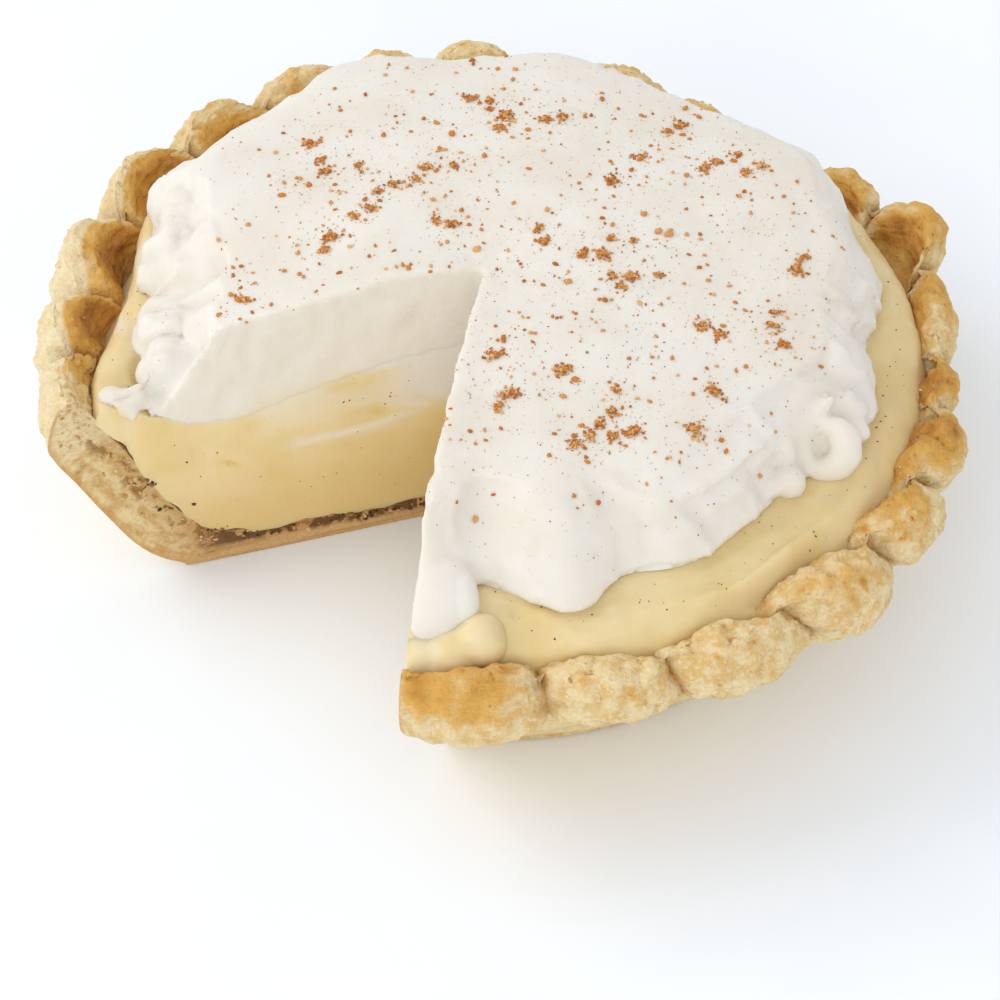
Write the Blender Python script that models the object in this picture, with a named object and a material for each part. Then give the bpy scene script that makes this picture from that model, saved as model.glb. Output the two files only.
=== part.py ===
"""Eggnog pie with one slice taken out: a crimped pastry shell, a custard filling and a thick layer
of whipped cream dusted with grated nutmeg.

Each of the three is one closed solid. A flat sheet of quads, s along the section and t through it,
is spun round the pie's axis, and a form function then moves every vertex to its place, so the two
cut faces, the crimps and the swirls all come from the same few named sizes.
"""

import math
import random

import bmesh
import bpy
from mathutils import Euler, Matrix, Vector

MM = 0.001

# The slice that is missing: angles run anticlockwise from +X, seen from above
CUT_RIGHT_DEG = 258.0
SWEEP_DEG = 294.8

# The apex of the cut stands a little to the left of the middle of the rim
APEX_X = -3.4
APEX_Y = -1.8

# Unevenness of the whole bake, in mm at the rim: once and twice round, cosine then sine
RIM_RADIUS = 125.0
RIM_HEIGHT = 54.5
WIDER = (4.8, 2.3, -1.4, -3.0)
HIGHER = (-4.0, 3.0, 1.8, -1.0)
# Where the rim rises or sags: direction, spread in degrees, amount in mm
RIM_SAGS = (
    (47, 19, -6.5),
    (72, 9, 3.0),
    (114, 16, 3.0),
    (190, 10, 3.5),
    (268, 18, 2.8),
)
# The wall below the rim is fuller beside the left cut
WALL_FULLER = 9.0
WALL_FULLER_SPREAD_DEG = 45.0

# Touching pieces keep this gap
GAP = 0.5

# Pastry section in mm (radius, height): outside and inside, both from the axis to the lip
SHELL_OUTSIDE = (
    (0.0, 0.0),
    (80.0, 0.0),
    (87.5, 1.8),
    (95.5, 10.5),
    (104.5, 24.5),
    (112.0, 36.5),
    (117.5, 42.0),
    (122.6, 45.8),
    (124.0, 51.5),
    (121.5, 57.6),
    (118.2, 60.0),
)
SHELL_INSIDE = (
    (0.0, 7.0),
    (70.0, 8.8),
    (84.0, 14.0),
    (93.0, 23.0),
    (99.0, 34.5),
    (104.0, 43.5),
    (108.2, 49.0),
    (110.2, 52.4),
    (111.8, 55.8),
    (113.9, 58.4),
    (116.2, 60.0),
)
ROLL_CENTRE_HEIGHT = 51.0
ROLL_HALF_HEIGHT = 9.5

# Crimps, from the right cut round to the left one: how wide each is in degrees, how much it
# bulges against the average, and how far the crease after it leans forward on the outside
CRIMP_WIDTHS = (
    16.3, 14.7, 15.6, 15.1, 11.7, 13.8, 9.5, 17.2, 14.0, 12.0, 12.0,
    12.0, 12.0, 9.0, 12.6, 12.1, 13.5, 13.9, 15.9, 16.0, 12.5, 13.4,
)
CRIMP_SIZES = (
    1.6, 0.8, 0.8, 1.5, 1.1, 1.2, 0.8, 0.9, 1.4, 1.1, 0.9,
    0.9, 0.9, 0.7, 1.2, 1.0, 0.9, 1.1, 1.3, 1.2, 1.1, 0.7,
)
# How far each crimp as a whole sits out from the average, in mm
CRIMP_SETS = (
    0.0, -0.5, -0.5, -3.0, -2.0, -4.0, -5.0, -3.0, 4.5, -1.0, -2.0,
    -2.5, -2.0, -0.5, -0.5, -0.5, -1.0, -1.5, -2.0, -1.5, -1.5, 0.0,
)
CREASE_LEANS = (
    0.5, 1.5, 3.5, 2.5, 4.0, 3.0, 2.0, 2.5, 2.0, 1.0, 2.0,
    -1.0, 2.0, 1.0, 2.0, -1.0, 2.0, 2.5, 2.0, 1.5, 2.0, 0.0,
)
FIRST_CRIMP_STARTS = 0.30
LAST_CRIMP_ENDS = 0.78
CRIMP_ROUNDNESS = 0.6
CRIMP_PINCH = 3.0
CRIMP_BULGE = 5.6
CRIMP_HOLLOW = 4.4
CRIMP_TALLER = 3.2
CRIMP_STEPS = 6

# Filling section in mm: its underside follows the inside of the pastry
FILLING_UNDERSIDE = (
    (0.0, 7.4),
    (24.0, 8.0),
    (47.0, 8.6),
    (69.8, 9.3),
    (83.6, 14.5),
    (92.5, 23.4),
    (98.4, 34.8),
    (103.3, 43.9),
    (107.3, 49.4),
)
# The surface between custard and cream, at quarters of the way to the foot of the cream
SEAM_HEIGHTS = (61.0, 60.5, 56.8, 53.6, 62.0)
# The custard's own surface outside the cream, from the foot of the cream to the pastry
BAND_HEIGHTS = (61.8, 60.6, 58.0, 53.6)
BAND_SHARES = (0.34, 0.62, 0.86, 1.0)
BAND_EDGE = 108.6
# The blob of custard pushed up against the pastry beside the right cut
BLOB = (260.0, 6.0)
BLOB_OUT = 2.0
BLOB_UP = 3.5
# Beside the left cut the seam sags by this much, at quarters of the way to the foot
SEAM_SAG = (0.0, 0.0, 1.0, 4.5, 8.0)
SAG_SPREAD_DEG = 13.0

# Cream in mm
CREAM_FOOT = 98.3
CREAM_FOOT_BACK = 3.6
CREAM_FOOT_RIGHT = 1.5
# Where the foot runs out or draws back: direction, spread in degrees, amount in mm
CREAM_LOBES = (
    (259, 4, 4.5),
    (267, 4, -3.0),
    (280, 5, 5.0),
    (289, 5, -2.0),
    (314, 5, 1.5),
    (329, 5, 2.5),
    (340, 6, 4.5),
    (356, 5, -2.0),
    (6, 6, 1.5),
    (30, 13, 4.0),
    (108, 14, 1.5),
    (146, 8, 5.5),
    (171, 11, -5.0),
    (190, 8, -1.5),
)
# How far the fall from the top to the foot reaches inwards, in the same terms
CREAM_FALL = 8.0
CREAM_SLOPES = (
    (301, 14, 4.0),
    (273, 12, 9.0),
    (35, 34, -3.0),
    (165, 22, 10.0),
    (193, 14, 12.0),
)
CREAM_SIDE_FULLNESS = 0.3
CREAM_SIDE_HOLLOW = 0.42
CREAM_TOP = (
    (0.0, 84.6),
    (0.16, 86.6),
    (0.32, 87.4),
    (0.48, 86.4),
    (0.62, 85.0),
    (0.75, 84.0),
    (0.86, 83.2),
    (0.95, 82.0),
    (1.0, 79.6),
)
LAYER_STEPS = 80

# Nutmeg clumps that stand out from a step away: patches of radius, direction and how many
NUTMEG_PATCHES = (
    (30, 359, 5), (38, 347, 3), (17, 115, 2), (41, 110, 3), (17, 23, 2), (77, 309, 4),
    (74, 32, 3), (78, 26, 2), (79, 356, 2), (75, 340, 3), (62, 298, 3), (68, 287, 2),
    (70, 91, 3), (56, 84, 3), (62, 73, 2), (40, 125, 2), (53, 127, 1), (58, 135, 2),
    (70, 130, 1), (37, 142, 2), (42, 161, 2), (64, 186, 1), (49, 276, 2), (70, 299, 2),
    (72, 319, 1), (59, 334, 2), (80, 47, 2), (60, 44, 1), (46, 41, 1), (45, 294, 1),
    (36, 272, 1),
)
CLUMP_SEED = 11
CLUMP_ACROSS = (1.7, 4.2)
PATCH_SPREAD = 5.0


def smooth_step(low, high, value):
    share = min(1.0, max(0.0, (value - low) / (high - low)))
    return share * share * (3.0 - 2.0 * share)


def bump(angle_deg, centre_deg, spread_deg):
    """A bell of height 1 round centre_deg, measured the short way round."""
    off = (angle_deg - centre_deg + 180.0) % 360.0 - 180.0
    return math.exp(-((off / spread_deg) ** 2))


def along(points, s):
    """The point at share s of a curve that passes evenly spaced points (Catmull-Rom)."""
    spans = len(points) - 1
    place = min(max(s, 0.0), 1.0) * spans
    index = min(int(place), spans - 1)
    u = place - index
    before = points[max(index - 1, 0)]
    start = points[index]
    end = points[index + 1]
    after = points[min(index + 2, spans)]
    return tuple(
        0.5 * (2 * b + (c - a) * u + (2 * a - 5 * b + 4 * c - d) * u ** 2 + (3 * b - a - 3 * c + d) * u ** 3)
        for a, b, c, d in zip(before, start, end, after)
    )


def between(low, high, share):
    return low + (high - low) * share


def uneven(amounts, angle):
    """A sum of waves that go once and twice round the pie."""
    once_cos, once_sin, twice_cos, twice_sin = amounts
    return (
        once_cos * math.cos(angle)
        + once_sin * math.sin(angle)
        + twice_cos * math.cos(2 * angle)
        + twice_sin * math.sin(2 * angle)
    )


def swells(table, degrees):
    """The sum of the bells that a table of direction, spread and amount gives at that angle."""
    return sum(amount * bump(degrees, centre, spread) for centre, spread, amount in table)


def warped(radius, angle, height):
    """The bake's own unevenness: a rim that isn't round and stands higher at the back and left."""
    reach = radius / RIM_RADIUS
    radius += uneven(WIDER, angle) * reach ** 2
    lift = uneven(HIGHER, angle) + swells(RIM_SAGS, math.degrees(angle))
    height += lift * reach ** 4 * height / RIM_HEIGHT
    return Vector((
        (APEX_X + radius * math.cos(angle)) * MM,
        (APEX_Y + radius * math.sin(angle)) * MM,
        height * MM,
    ))


def crimp_set(place):
    """How far out the rim sits at that many crimps from the right cut, eased from crimp to crimp."""
    last = len(CRIMP_SETS) - 1
    index = min(max(int(place - 0.5), 0), last)
    share = smooth_step(0.0, 1.0, place - 0.5 - index)
    return between(CRIMP_SETS[index], CRIMP_SETS[min(index + 1, last)], share)


def pastry_point(s, t, turn):
    """turn runs from 0 to 1 round the pie and gives each crimp the same number of steps."""
    place = turn * len(CRIMP_WIDTHS)
    index = min(int(place + 1e-6), len(CRIMP_WIDTHS) - 1)
    u = place - index
    start = sum(CRIMP_WIDTHS[:index])
    lean_before = CREASE_LEANS[index - 1] if index else 0.0
    lean = between(lean_before, CREASE_LEANS[index], u)
    phase = u
    if index == 0:
        phase = between(FIRST_CRIMP_STARTS, 1.0, u)
    elif index == len(CRIMP_WIDTHS) - 1:
        phase = between(0.0, LAST_CRIMP_ENDS, u)
    swell = abs(math.sin(math.pi * phase)) ** CRIMP_ROUNDNESS * CRIMP_SIZES[index]

    radius_out, height_out = along(SHELL_OUTSIDE, s)
    fuller = smooth_step(0.05, 0.32, s) * (1.0 - smooth_step(0.5, 0.85, s))
    middle = CUT_RIGHT_DEG + start + u * CRIMP_WIDTHS[index]
    radius_out += WALL_FULLER * fuller * bump(middle, CUT_RIGHT_DEG + SWEEP_DEG, WALL_FULLER_SPREAD_DEG)
    radius_in, height_in = along(SHELL_INSIDE, s)
    radius = between(radius_out, radius_in, t)
    height = between(height_out, height_in, t)
    rim = smooth_step(0.42, 0.72, s)
    sets_out = crimp_set(place)
    outward = CRIMP_BULGE * swell - CRIMP_PINCH + sets_out
    hollow = max(0.0, CRIMP_HOLLOW * min(swell, 1.2) ** 2 + sets_out)
    radius += rim * between(outward, hollow, t ** 1.5)
    rise = (height - ROLL_CENTRE_HEIGHT) / ROLL_HALF_HEIGHT
    height += rim * rise * (CRIMP_TALLER * swell - 1.8)
    side = (1.0 - 2.0 * t) * (1.0 - 0.7 * smooth_step(0.7, 1.0, s))
    degrees = CUT_RIGHT_DEG + start + u * CRIMP_WIDTHS[index] + lean * side * rim
    return warped(radius, math.radians(degrees), height)


def cream_foot(degrees):
    """Radius at which the cream meets the custard, with its scallops and drips."""
    angle = math.radians(degrees)
    foot = CREAM_FOOT + CREAM_FOOT_BACK * math.sin(angle) + CREAM_FOOT_RIGHT * math.cos(angle)
    return foot + 0.7 * math.sin(13 * angle + 2.0) + swells(CREAM_LOBES, degrees)


def cream_fall(degrees):
    """How far inside its foot the cream's top edge starts to fall."""
    return CREAM_FALL + swells(CREAM_SLOPES, degrees) + 1.2 * math.sin(math.radians(degrees) * 9)


def seam_height(quarter, degrees):
    """Height of the seam between custard and cream at that quarter of the way to the foot."""
    sag = bump(degrees, CUT_RIGHT_DEG + SWEEP_DEG, SAG_SPREAD_DEG)
    index = min(int(quarter), len(SEAM_HEIGHTS) - 2)
    heights = [SEAM_HEIGHTS[i] - SEAM_SAG[i] * sag for i in (index, index + 1)]
    return between(*heights, quarter - index)


def filling_point(s, t, turn):
    degrees = CUT_RIGHT_DEG + turn * SWEEP_DEG
    low_radius, low_height = along(FILLING_UNDERSIDE, s)
    step = round(s * (len(FILLING_UNDERSIDE) - 1))
    foot = cream_foot(degrees)
    quarters = len(SEAM_HEIGHTS) - 1
    if step <= quarters:
        high_radius = foot * step / quarters
        high_height = seam_height(step, degrees)
    else:
        index = step - quarters - 1
        sag = SEAM_SAG[-1] * (1.0 - BAND_SHARES[index]) * bump(degrees, CUT_RIGHT_DEG + SWEEP_DEG, SAG_SPREAD_DEG)
        blob = bump(degrees, *BLOB)
        high_radius = between(foot, BAND_EDGE, BAND_SHARES[index]) + BLOB_OUT * blob
        high_height = BAND_HEIGHTS[index] - sag + BLOB_UP * blob
    radius = between(low_radius, high_radius, t)
    height = between(low_height, high_height, t)
    return warped(radius, math.radians(degrees), height)


def cream_height(share, degrees):
    """Height of the cream's top at that share of the way out to its shoulder."""
    index = 0
    while index < len(CREAM_TOP) - 2 and CREAM_TOP[index + 1][0] < share:
        index += 1
    (low, start), (high, end) = CREAM_TOP[index], CREAM_TOP[index + 1]
    height = between(start, end, (share - low) / (high - low))
    angle = math.radians(degrees)
    waves = 0.8 * math.sin(3 * angle + 1.0) + 0.5 * math.sin(5 * angle)
    return height + share ** 2 * waves


def cream_point(s, t, turn):
    degrees = CUT_RIGHT_DEG + turn * SWEEP_DEG
    foot = cream_foot(degrees)
    fall = cream_fall(degrees)
    quarters = len(SEAM_HEIGHTS) - 1
    low_height = seam_height(s * quarters, degrees) + GAP
    top_share = CREAM_TOP[round(s * (len(CREAM_TOP) - 1))][0]
    high_radius = (foot - fall) * top_share
    high_height = cream_height(top_share, degrees)
    fullness = CREAM_SIDE_FULLNESS - CREAM_SIDE_HOLLOW * bump(degrees, CUT_RIGHT_DEG + SWEEP_DEG, 14)
    radius = between(foot * s, high_radius, t)
    radius += fullness * fall * math.sin(math.pi * t ** 0.8) * smooth_step(0.7, 1.0, s)
    height = between(low_height, high_height, t)
    return warped(radius, math.radians(degrees), height)


def spun_solid(name, spans, layers, steps, form):
    """Spins a sheet of spans by layers quads round the axis and moves each vertex to form(s, t, turn)."""
    mesh = bpy.data.meshes.new(name)
    bm = bmesh.new()
    bmesh.ops.create_grid(bm, x_segments=spans, y_segments=layers, size=0.5)
    for vert in bm.verts:
        vert.co = Vector((vert.co.x + 0.5, 0.0, vert.co.y + 0.5))
    bmesh.ops.spin(
        bm,
        geom=bm.verts[:] + bm.edges[:] + bm.faces[:],
        cent=(0.0, 0.0, 0.0),
        axis=(0.0, 0.0, 1.0),
        dvec=(0.0, 0.0, 0.0),
        angle=math.radians(SWEEP_DEG),
        steps=steps,
        use_merge=False,
    )
    bmesh.ops.remove_doubles(bm, verts=bm.verts, dist=1e-5)
    for vert in bm.verts:
        s = math.hypot(vert.co.x, vert.co.y)
        turned = math.degrees(math.atan2(vert.co.y, vert.co.x)) % 360.0
        if turned > SWEEP_DEG + 1.0:
            turned = 0.0
        turn = round(turned / SWEEP_DEG * steps) / steps if s > 1e-4 else 0.0
        vert.co = form(s, vert.co.z, turn)
    bmesh.ops.recalc_face_normals(bm, faces=bm.faces)
    if bm.calc_volume(signed=True) < 0.0:
        bmesh.ops.reverse_faces(bm, faces=bm.faces)
    bm.to_mesh(mesh)
    bm.free()
    mesh.shade_smooth()
    mesh.set_sharp_from_angle(angle=math.radians(45))
    return bpy.data.objects.new(name, mesh)


def material(name, colour, roughness):
    made = bpy.data.materials.new(name)
    made.use_nodes = True
    shader = made.node_tree.nodes["Principled BSDF"]
    shader.inputs["Base Color"].default_value = (*colour, 1.0)
    shader.inputs["Roughness"].default_value = roughness
    shader.inputs["Metallic"].default_value = 0.0
    return made


def cream_surface(radius, degrees):
    """The point on the cream's top at that radius and angle."""
    shoulder = cream_foot(degrees) - cream_fall(degrees)
    return warped(radius, math.radians(degrees), cream_height(radius / shoulder, degrees))


def clump_places():
    """Where the nutmeg lies, each patch's largest clump first and nearest its middle."""
    draw = random.Random(CLUMP_SEED)
    places = []
    for patch_radius, patch_degrees, count in NUTMEG_PATCHES:
        for number in range(count):
            away = PATCH_SPREAD * number ** 0.5
            heading = draw.uniform(0.0, math.tau)
            angle = math.radians(patch_degrees)
            x = patch_radius * math.cos(angle) + away * math.cos(heading)
            y = patch_radius * math.sin(angle) + away * math.sin(heading)
            across = between(*CLUMP_ACROSS, draw.uniform(0.5, 1.0) / (1.0 + 0.6 * number))
            degrees = math.degrees(math.atan2(y, x)) % 360.0
            clear_of_cut = (degrees - CUT_RIGHT_DEG - 3.0) % 360.0 < SWEEP_DEG - 6.0
            if clear_of_cut and math.hypot(x, y) < cream_foot(degrees) - cream_fall(degrees) - 3.0:
                places.append((math.hypot(x, y), degrees, across, draw.uniform(0.0, math.tau)))
    return places


def clump(index, radius, degrees, across, spin):
    """One flat clump of nutmeg, half sunk in the cream."""
    mesh = bpy.data.meshes.new(f"clump_{index}")
    bm = bmesh.new()
    bmesh.ops.create_uvsphere(bm, u_segments=6, v_segments=4, radius=0.5)
    size = Vector((across, across * 0.7, across * 0.5)) * MM
    place = Matrix.Translation(cream_surface(radius, degrees)) @ Matrix.Rotation(spin, 4, "Z")
    bmesh.ops.transform(bm, matrix=place @ Matrix.Diagonal((*size, 1.0)), verts=bm.verts)
    bm.to_mesh(mesh)
    bm.free()
    return bpy.data.objects.new(mesh.name, mesh)


def curl():
    """The rolled-over curl at the cream's right edge: a fat ring lying on its side."""
    bpy.ops.mesh.primitive_torus_add(
        major_segments=14, minor_segments=8, major_radius=5.4 * MM, minor_radius=4.2 * MM
    )
    ring = bpy.context.object
    ring.name = "curl"
    place = warped(100.5, math.radians(327.5), 71.8)
    turn = Euler((math.radians(40), 0.0, math.radians(38))).to_matrix().to_4x4()
    ring.data.transform(Matrix.Translation(place) @ turn)
    ring.matrix_world = Matrix.Identity(4)
    return ring


def droplet():
    """The drop of cream beside the curl."""
    mesh = bpy.data.meshes.new("droplet")
    bm = bmesh.new()
    bmesh.ops.create_uvsphere(bm, u_segments=10, v_segments=7, radius=1.0)
    size = Vector((4.0, 6.6, 4.4)) * MM
    turn = Euler((math.radians(28), 0.0, math.radians(38))).to_matrix().to_4x4()
    place = Matrix.Translation(warped(96.3, math.radians(318), 68.4))
    bmesh.ops.transform(bm, matrix=place @ turn @ Matrix.Diagonal((*size, 1.0)), verts=bm.verts)
    bm.to_mesh(mesh)
    bm.free()
    return bpy.data.objects.new(mesh.name, mesh)


def join_to(base, pieces):
    """One Boolean union of base with all of pieces, applied, and the pieces then removed."""
    extras = bpy.data.collections.new("joined_to_cream")
    for piece in pieces:
        for holder in piece.users_collection:
            holder.objects.unlink(piece)
        extras.objects.link(piece)
    bpy.context.scene.collection.children.link(extras)
    union = base.modifiers.new("union", "BOOLEAN")
    union.operation = "UNION"
    union.solver = "MANIFOLD"
    union.operand_type = "COLLECTION"
    union.collection = extras
    bpy.context.view_layer.update()
    graph = bpy.context.evaluated_depsgraph_get()
    joined = bpy.data.meshes.new_from_object(base.evaluated_get(graph))
    base.modifiers.clear()
    base.data = joined
    for piece in list(extras.objects):
        bpy.data.objects.remove(piece)
    bpy.data.collections.remove(extras)


def main():
    for obj in list(bpy.data.objects):
        bpy.data.objects.remove(obj)
    pie = bpy.data.collections.new("eggnog_pie")
    bpy.context.scene.collection.children.link(pie)

    crimp_steps = CRIMP_STEPS * len(CRIMP_WIDTHS)
    crust = spun_solid("crust", len(SHELL_OUTSIDE) - 1, 1, crimp_steps, pastry_point)
    custard = spun_solid("custard", len(FILLING_UNDERSIDE) - 1, 1, LAYER_STEPS, filling_point)
    cream = spun_solid("whipped_cream", len(CREAM_TOP) - 1, 3, LAYER_STEPS, cream_point)
    for piece in (crust, custard, cream):
        pie.objects.link(piece)

    clumps = [clump(index, *place) for index, place in enumerate(clump_places())]
    join_to(cream, [curl(), droplet()] + clumps)

    for piece, colour, roughness in (
        (crust, (0.72, 0.48, 0.22), 0.75),
        (custard, (0.87, 0.72, 0.42), 0.35),
        (cream, (0.93, 0.91, 0.86), 0.45),
    ):
        piece.data.materials.clear()
        piece.data.materials.append(material(piece.name, colour, roughness))


main()
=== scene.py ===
"""Eggnog pie with a slice taken out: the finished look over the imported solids.

The pastry, the custard and the whipped cream are spun from the same sections as the solids, at a
fine step, and then worked over: crimps pinched, crust roughened, cream folded and curled. The
nutmeg, the dark specks in the custard and the crumbs are laid on afterwards.
"""

import math
import random

import bmesh
import bpy
from mathutils import Euler, Matrix, Vector, noise
from mathutils.bvhtree import BVHTree

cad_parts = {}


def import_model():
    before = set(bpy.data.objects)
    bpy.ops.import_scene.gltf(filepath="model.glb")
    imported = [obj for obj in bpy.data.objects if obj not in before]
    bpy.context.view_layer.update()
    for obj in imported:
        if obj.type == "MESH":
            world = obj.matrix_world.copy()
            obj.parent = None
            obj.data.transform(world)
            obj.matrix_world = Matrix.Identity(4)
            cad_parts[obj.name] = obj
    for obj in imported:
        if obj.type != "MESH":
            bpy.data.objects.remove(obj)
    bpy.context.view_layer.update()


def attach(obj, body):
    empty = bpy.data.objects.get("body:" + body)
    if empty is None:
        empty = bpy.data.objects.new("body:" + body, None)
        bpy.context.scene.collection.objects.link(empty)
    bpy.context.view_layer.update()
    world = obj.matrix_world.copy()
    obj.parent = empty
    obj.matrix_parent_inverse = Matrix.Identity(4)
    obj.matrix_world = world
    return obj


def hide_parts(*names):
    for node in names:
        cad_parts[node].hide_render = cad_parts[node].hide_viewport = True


MM = 0.001

# The cut and the bake, as in the solids: angles anticlockwise from +X, lengths in mm
CUT_RIGHT_DEG = 258.0
SWEEP_DEG = 294.8
CUT_LEFT_DEG = CUT_RIGHT_DEG + SWEEP_DEG
APEX_X = -3.4
APEX_Y = -1.8
RIM_RADIUS = 125.0
RIM_HEIGHT = 54.5
WIDER = (4.8, 2.3, -1.4, -3.0)
HIGHER = (-4.0, 3.0, 1.8, -1.0)
RIM_SAGS = (
    (47, 19, -6.5),
    (72, 9, 3.0),
    (114, 16, 3.0),
    (190, 10, 3.5),
    (268, 18, 2.8),
)
WALL_FULLER = 9.0
WALL_FULLER_SPREAD_DEG = 45.0

SHELL_OUTSIDE = (
    (0.0, 0.0),
    (80.0, 0.0),
    (87.5, 1.8),
    (95.5, 10.5),
    (104.5, 24.5),
    (112.0, 36.5),
    (117.5, 42.0),
    (122.6, 45.8),
    (124.0, 51.5),
    (121.5, 57.6),
    (118.2, 60.0),
)
SHELL_INSIDE = (
    (0.0, 7.0),
    (70.0, 8.8),
    (84.0, 14.0),
    (93.0, 23.0),
    (99.0, 34.5),
    (104.0, 43.5),
    (108.2, 49.0),
    (110.2, 52.4),
    (111.8, 55.8),
    (113.9, 58.4),
    (116.2, 60.0),
)
ROLL_CENTRE_HEIGHT = 51.0
ROLL_HALF_HEIGHT = 9.5
CRIMP_WIDTHS = (
    16.3, 14.7, 15.6, 15.1, 11.7, 13.8, 9.5, 17.2, 14.0, 12.0, 12.0,
    12.0, 12.0, 9.0, 12.6, 12.1, 13.5, 13.9, 15.9, 16.0, 12.5, 13.4,
)
CRIMP_SIZES = (
    1.6, 0.8, 0.8, 1.5, 1.1, 1.2, 0.8, 0.9, 1.4, 1.1, 0.9,
    0.9, 0.9, 0.7, 1.2, 1.0, 0.9, 1.1, 1.3, 1.2, 1.1, 0.7,
)
CRIMP_SETS = (
    0.0, -0.5, -0.5, -3.0, -2.0, -4.0, -5.0, -3.0, 4.5, -1.0, -2.0,
    -2.5, -2.0, -0.5, -0.5, -0.5, -1.0, -1.5, -2.0, -1.5, -1.5, 0.0,
)
CREASE_LEANS = (
    0.5, 1.5, 3.5, 2.5, 4.0, 3.0, 2.0, 2.5, 2.0, 1.0, 2.0,
    -1.0, 2.0, 1.0, 2.0, -1.0, 2.0, 2.5, 2.0, 1.5, 2.0, 0.0,
)
# How deep the thumb pressed behind the crimps: everywhere a little, and deep by the right cut, at
# the left, at the right and at the back; direction and spread in degrees, and how much
THUMB_DEPTH = 0.1
THUMB_DEPTHS = (
    (260, 9, 0.9),
    (162, 34, 0.8),
    (24, 30, 0.7),
    (95, 40, 0.4),
)
CRIMP_INSIDE_FULLNESS = 3.2
CREASE_DIPS = 2.8
# On the left the pastry stands further in, and the custard stops short of it: direction and
# spread in degrees, and how far in mm
LEFT_SETS_IN = ((165, 15, 6.8),)
FIRST_CRIMP_STARTS = 0.2
LAST_CRIMP_ENDS = 0.78
CRIMP_ROUNDNESS = 0.6
CRIMP_PINCH = 3.0
CRIMP_BULGE = 5.6
CRIMP_HOLLOW = 4.4
CRIMP_TALLER = 3.2

FILLING_UNDERSIDE = (
    (0.0, 7.4),
    (24.0, 8.0),
    (47.0, 8.6),
    (69.8, 9.3),
    (83.6, 14.5),
    (92.5, 23.4),
    (98.4, 34.8),
    (103.3, 43.9),
    (107.3, 49.4),
)
SEAM_HEIGHTS = (61.0, 60.5, 56.8, 53.6, 62.0)
BAND_HEIGHTS = (61.8, 60.6, 58.0, 53.6)
BAND_SHARES = (0.34, 0.62, 0.86, 1.0)
BAND_EDGE = 108.6
BLOB = (260.0, 6.0)
BLOB_OUT = 2.0
BLOB_UP = 3.5
SEAM_SAG = (0.0, 0.0, 1.0, 4.5, 8.0)
SAG_SPREAD_DEG = 13.0

CREAM_FOOT = 98.3
CREAM_FOOT_BACK = 3.6
CREAM_FOOT_RIGHT = 1.5
CREAM_LOBES = (
    (259, 4, 4.5),
    (267, 4, -3.0),
    (280, 5, 5.0),
    (289, 5, -2.0),
    (314, 5, 1.5),
    (329, 5, 2.5),
    (340, 6, 4.5),
    (356, 5, -2.0),
    (6, 6, 1.5),
    (30, 13, 4.0),
    (108, 14, 1.5),
    (146, 8, 5.5),
    (171, 11, -5.0),
    (190, 8, -1.5),
)
CREAM_STEPS_BACK = ((347, 8, -4.0), (315, 12, -4.8), (328, 6, -4.2))
CREAM_FALL = 8.0
CREAM_SLOPES = (
    (301, 14, 4.0),
    (273, 12, 9.0),
    (35, 34, -3.0),
    (165, 22, 10.0),
    (193, 14, 12.0),
)
CREAM_SIDE_FULLNESS = 0.3
CREAM_SIDE_HOLLOW = 0.42
CREAM_TOP = (
    (0.0, 84.6),
    (0.16, 86.6),
    (0.32, 87.4),
    (0.48, 86.4),
    (0.62, 85.0),
    (0.75, 84.0),
    (0.86, 83.2),
    (0.95, 82.0),
    (1.0, 79.6),
)
CREAM_SINKS_MM = 0.3
UNDER_CUSTARD_MM = 3.0
CUT_WANDERS_MM = 0.9

# Folds on the cream's side: direction and spread in degrees, height up the side and its spread
# (0 at the foot, 1 at the top edge), how far the fold slants, and how far it stands out in mm
CREAM_FOLDS = (
    (311, 11, 0.62, 0.10, 4, 2.4),
    (311, 12, 0.40, 0.11, 4, -2.2),
    (296, 7, 0.70, 0.09, -5, 1.4),
    (152, 5, 0.55, 0.35, 6, 2.6),
    (161, 3, 0.45, 0.40, 8, -1.8),
    (167, 4, 0.70, 0.25, 4, 1.6),
    (171, 2, 0.30, 0.30, 3, -3.0),
    (177, 4, 0.35, 0.28, 5, 2.6),
    (183, 3, 0.60, 0.30, -5, -1.4),
    (188, 3, 0.28, 0.22, 3, 2.0),
    (297, 6, 0.86, 0.10, 0, 1.8),
    (306, 7, 0.88, 0.10, 0, 2.6),
    (316, 6, 0.90, 0.10, 0, 2.4),
    (304, 9, 0.64, 0.14, 4, -2.6),
    (315, 6, 0.60, 0.16, 4, -2.2),
    (310, 4, 0.42, 0.14, -4, 1.8),
    (299, 4, 0.45, 0.12, 0, 1.0),
    (322, 4, 0.80, 0.16, 0, 1.6),
    (320, 3, 0.45, 0.25, 5, -1.6),
    (337, 3, 0.55, 0.40, 5, -1.5),
    (344, 6, 0.30, 0.20, 0, 1.6),
    (352, 3, 0.70, 0.25, -3, -1.6),
    (359, 4, 0.50, 0.30, 3, 1.4),
    (280, 6, 0.18, 0.16, 0, 1.6),
    (270, 4, 0.20, 0.16, 2, -1.0),
    (289, 5, 0.22, 0.16, 0, -0.8),
)

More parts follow.
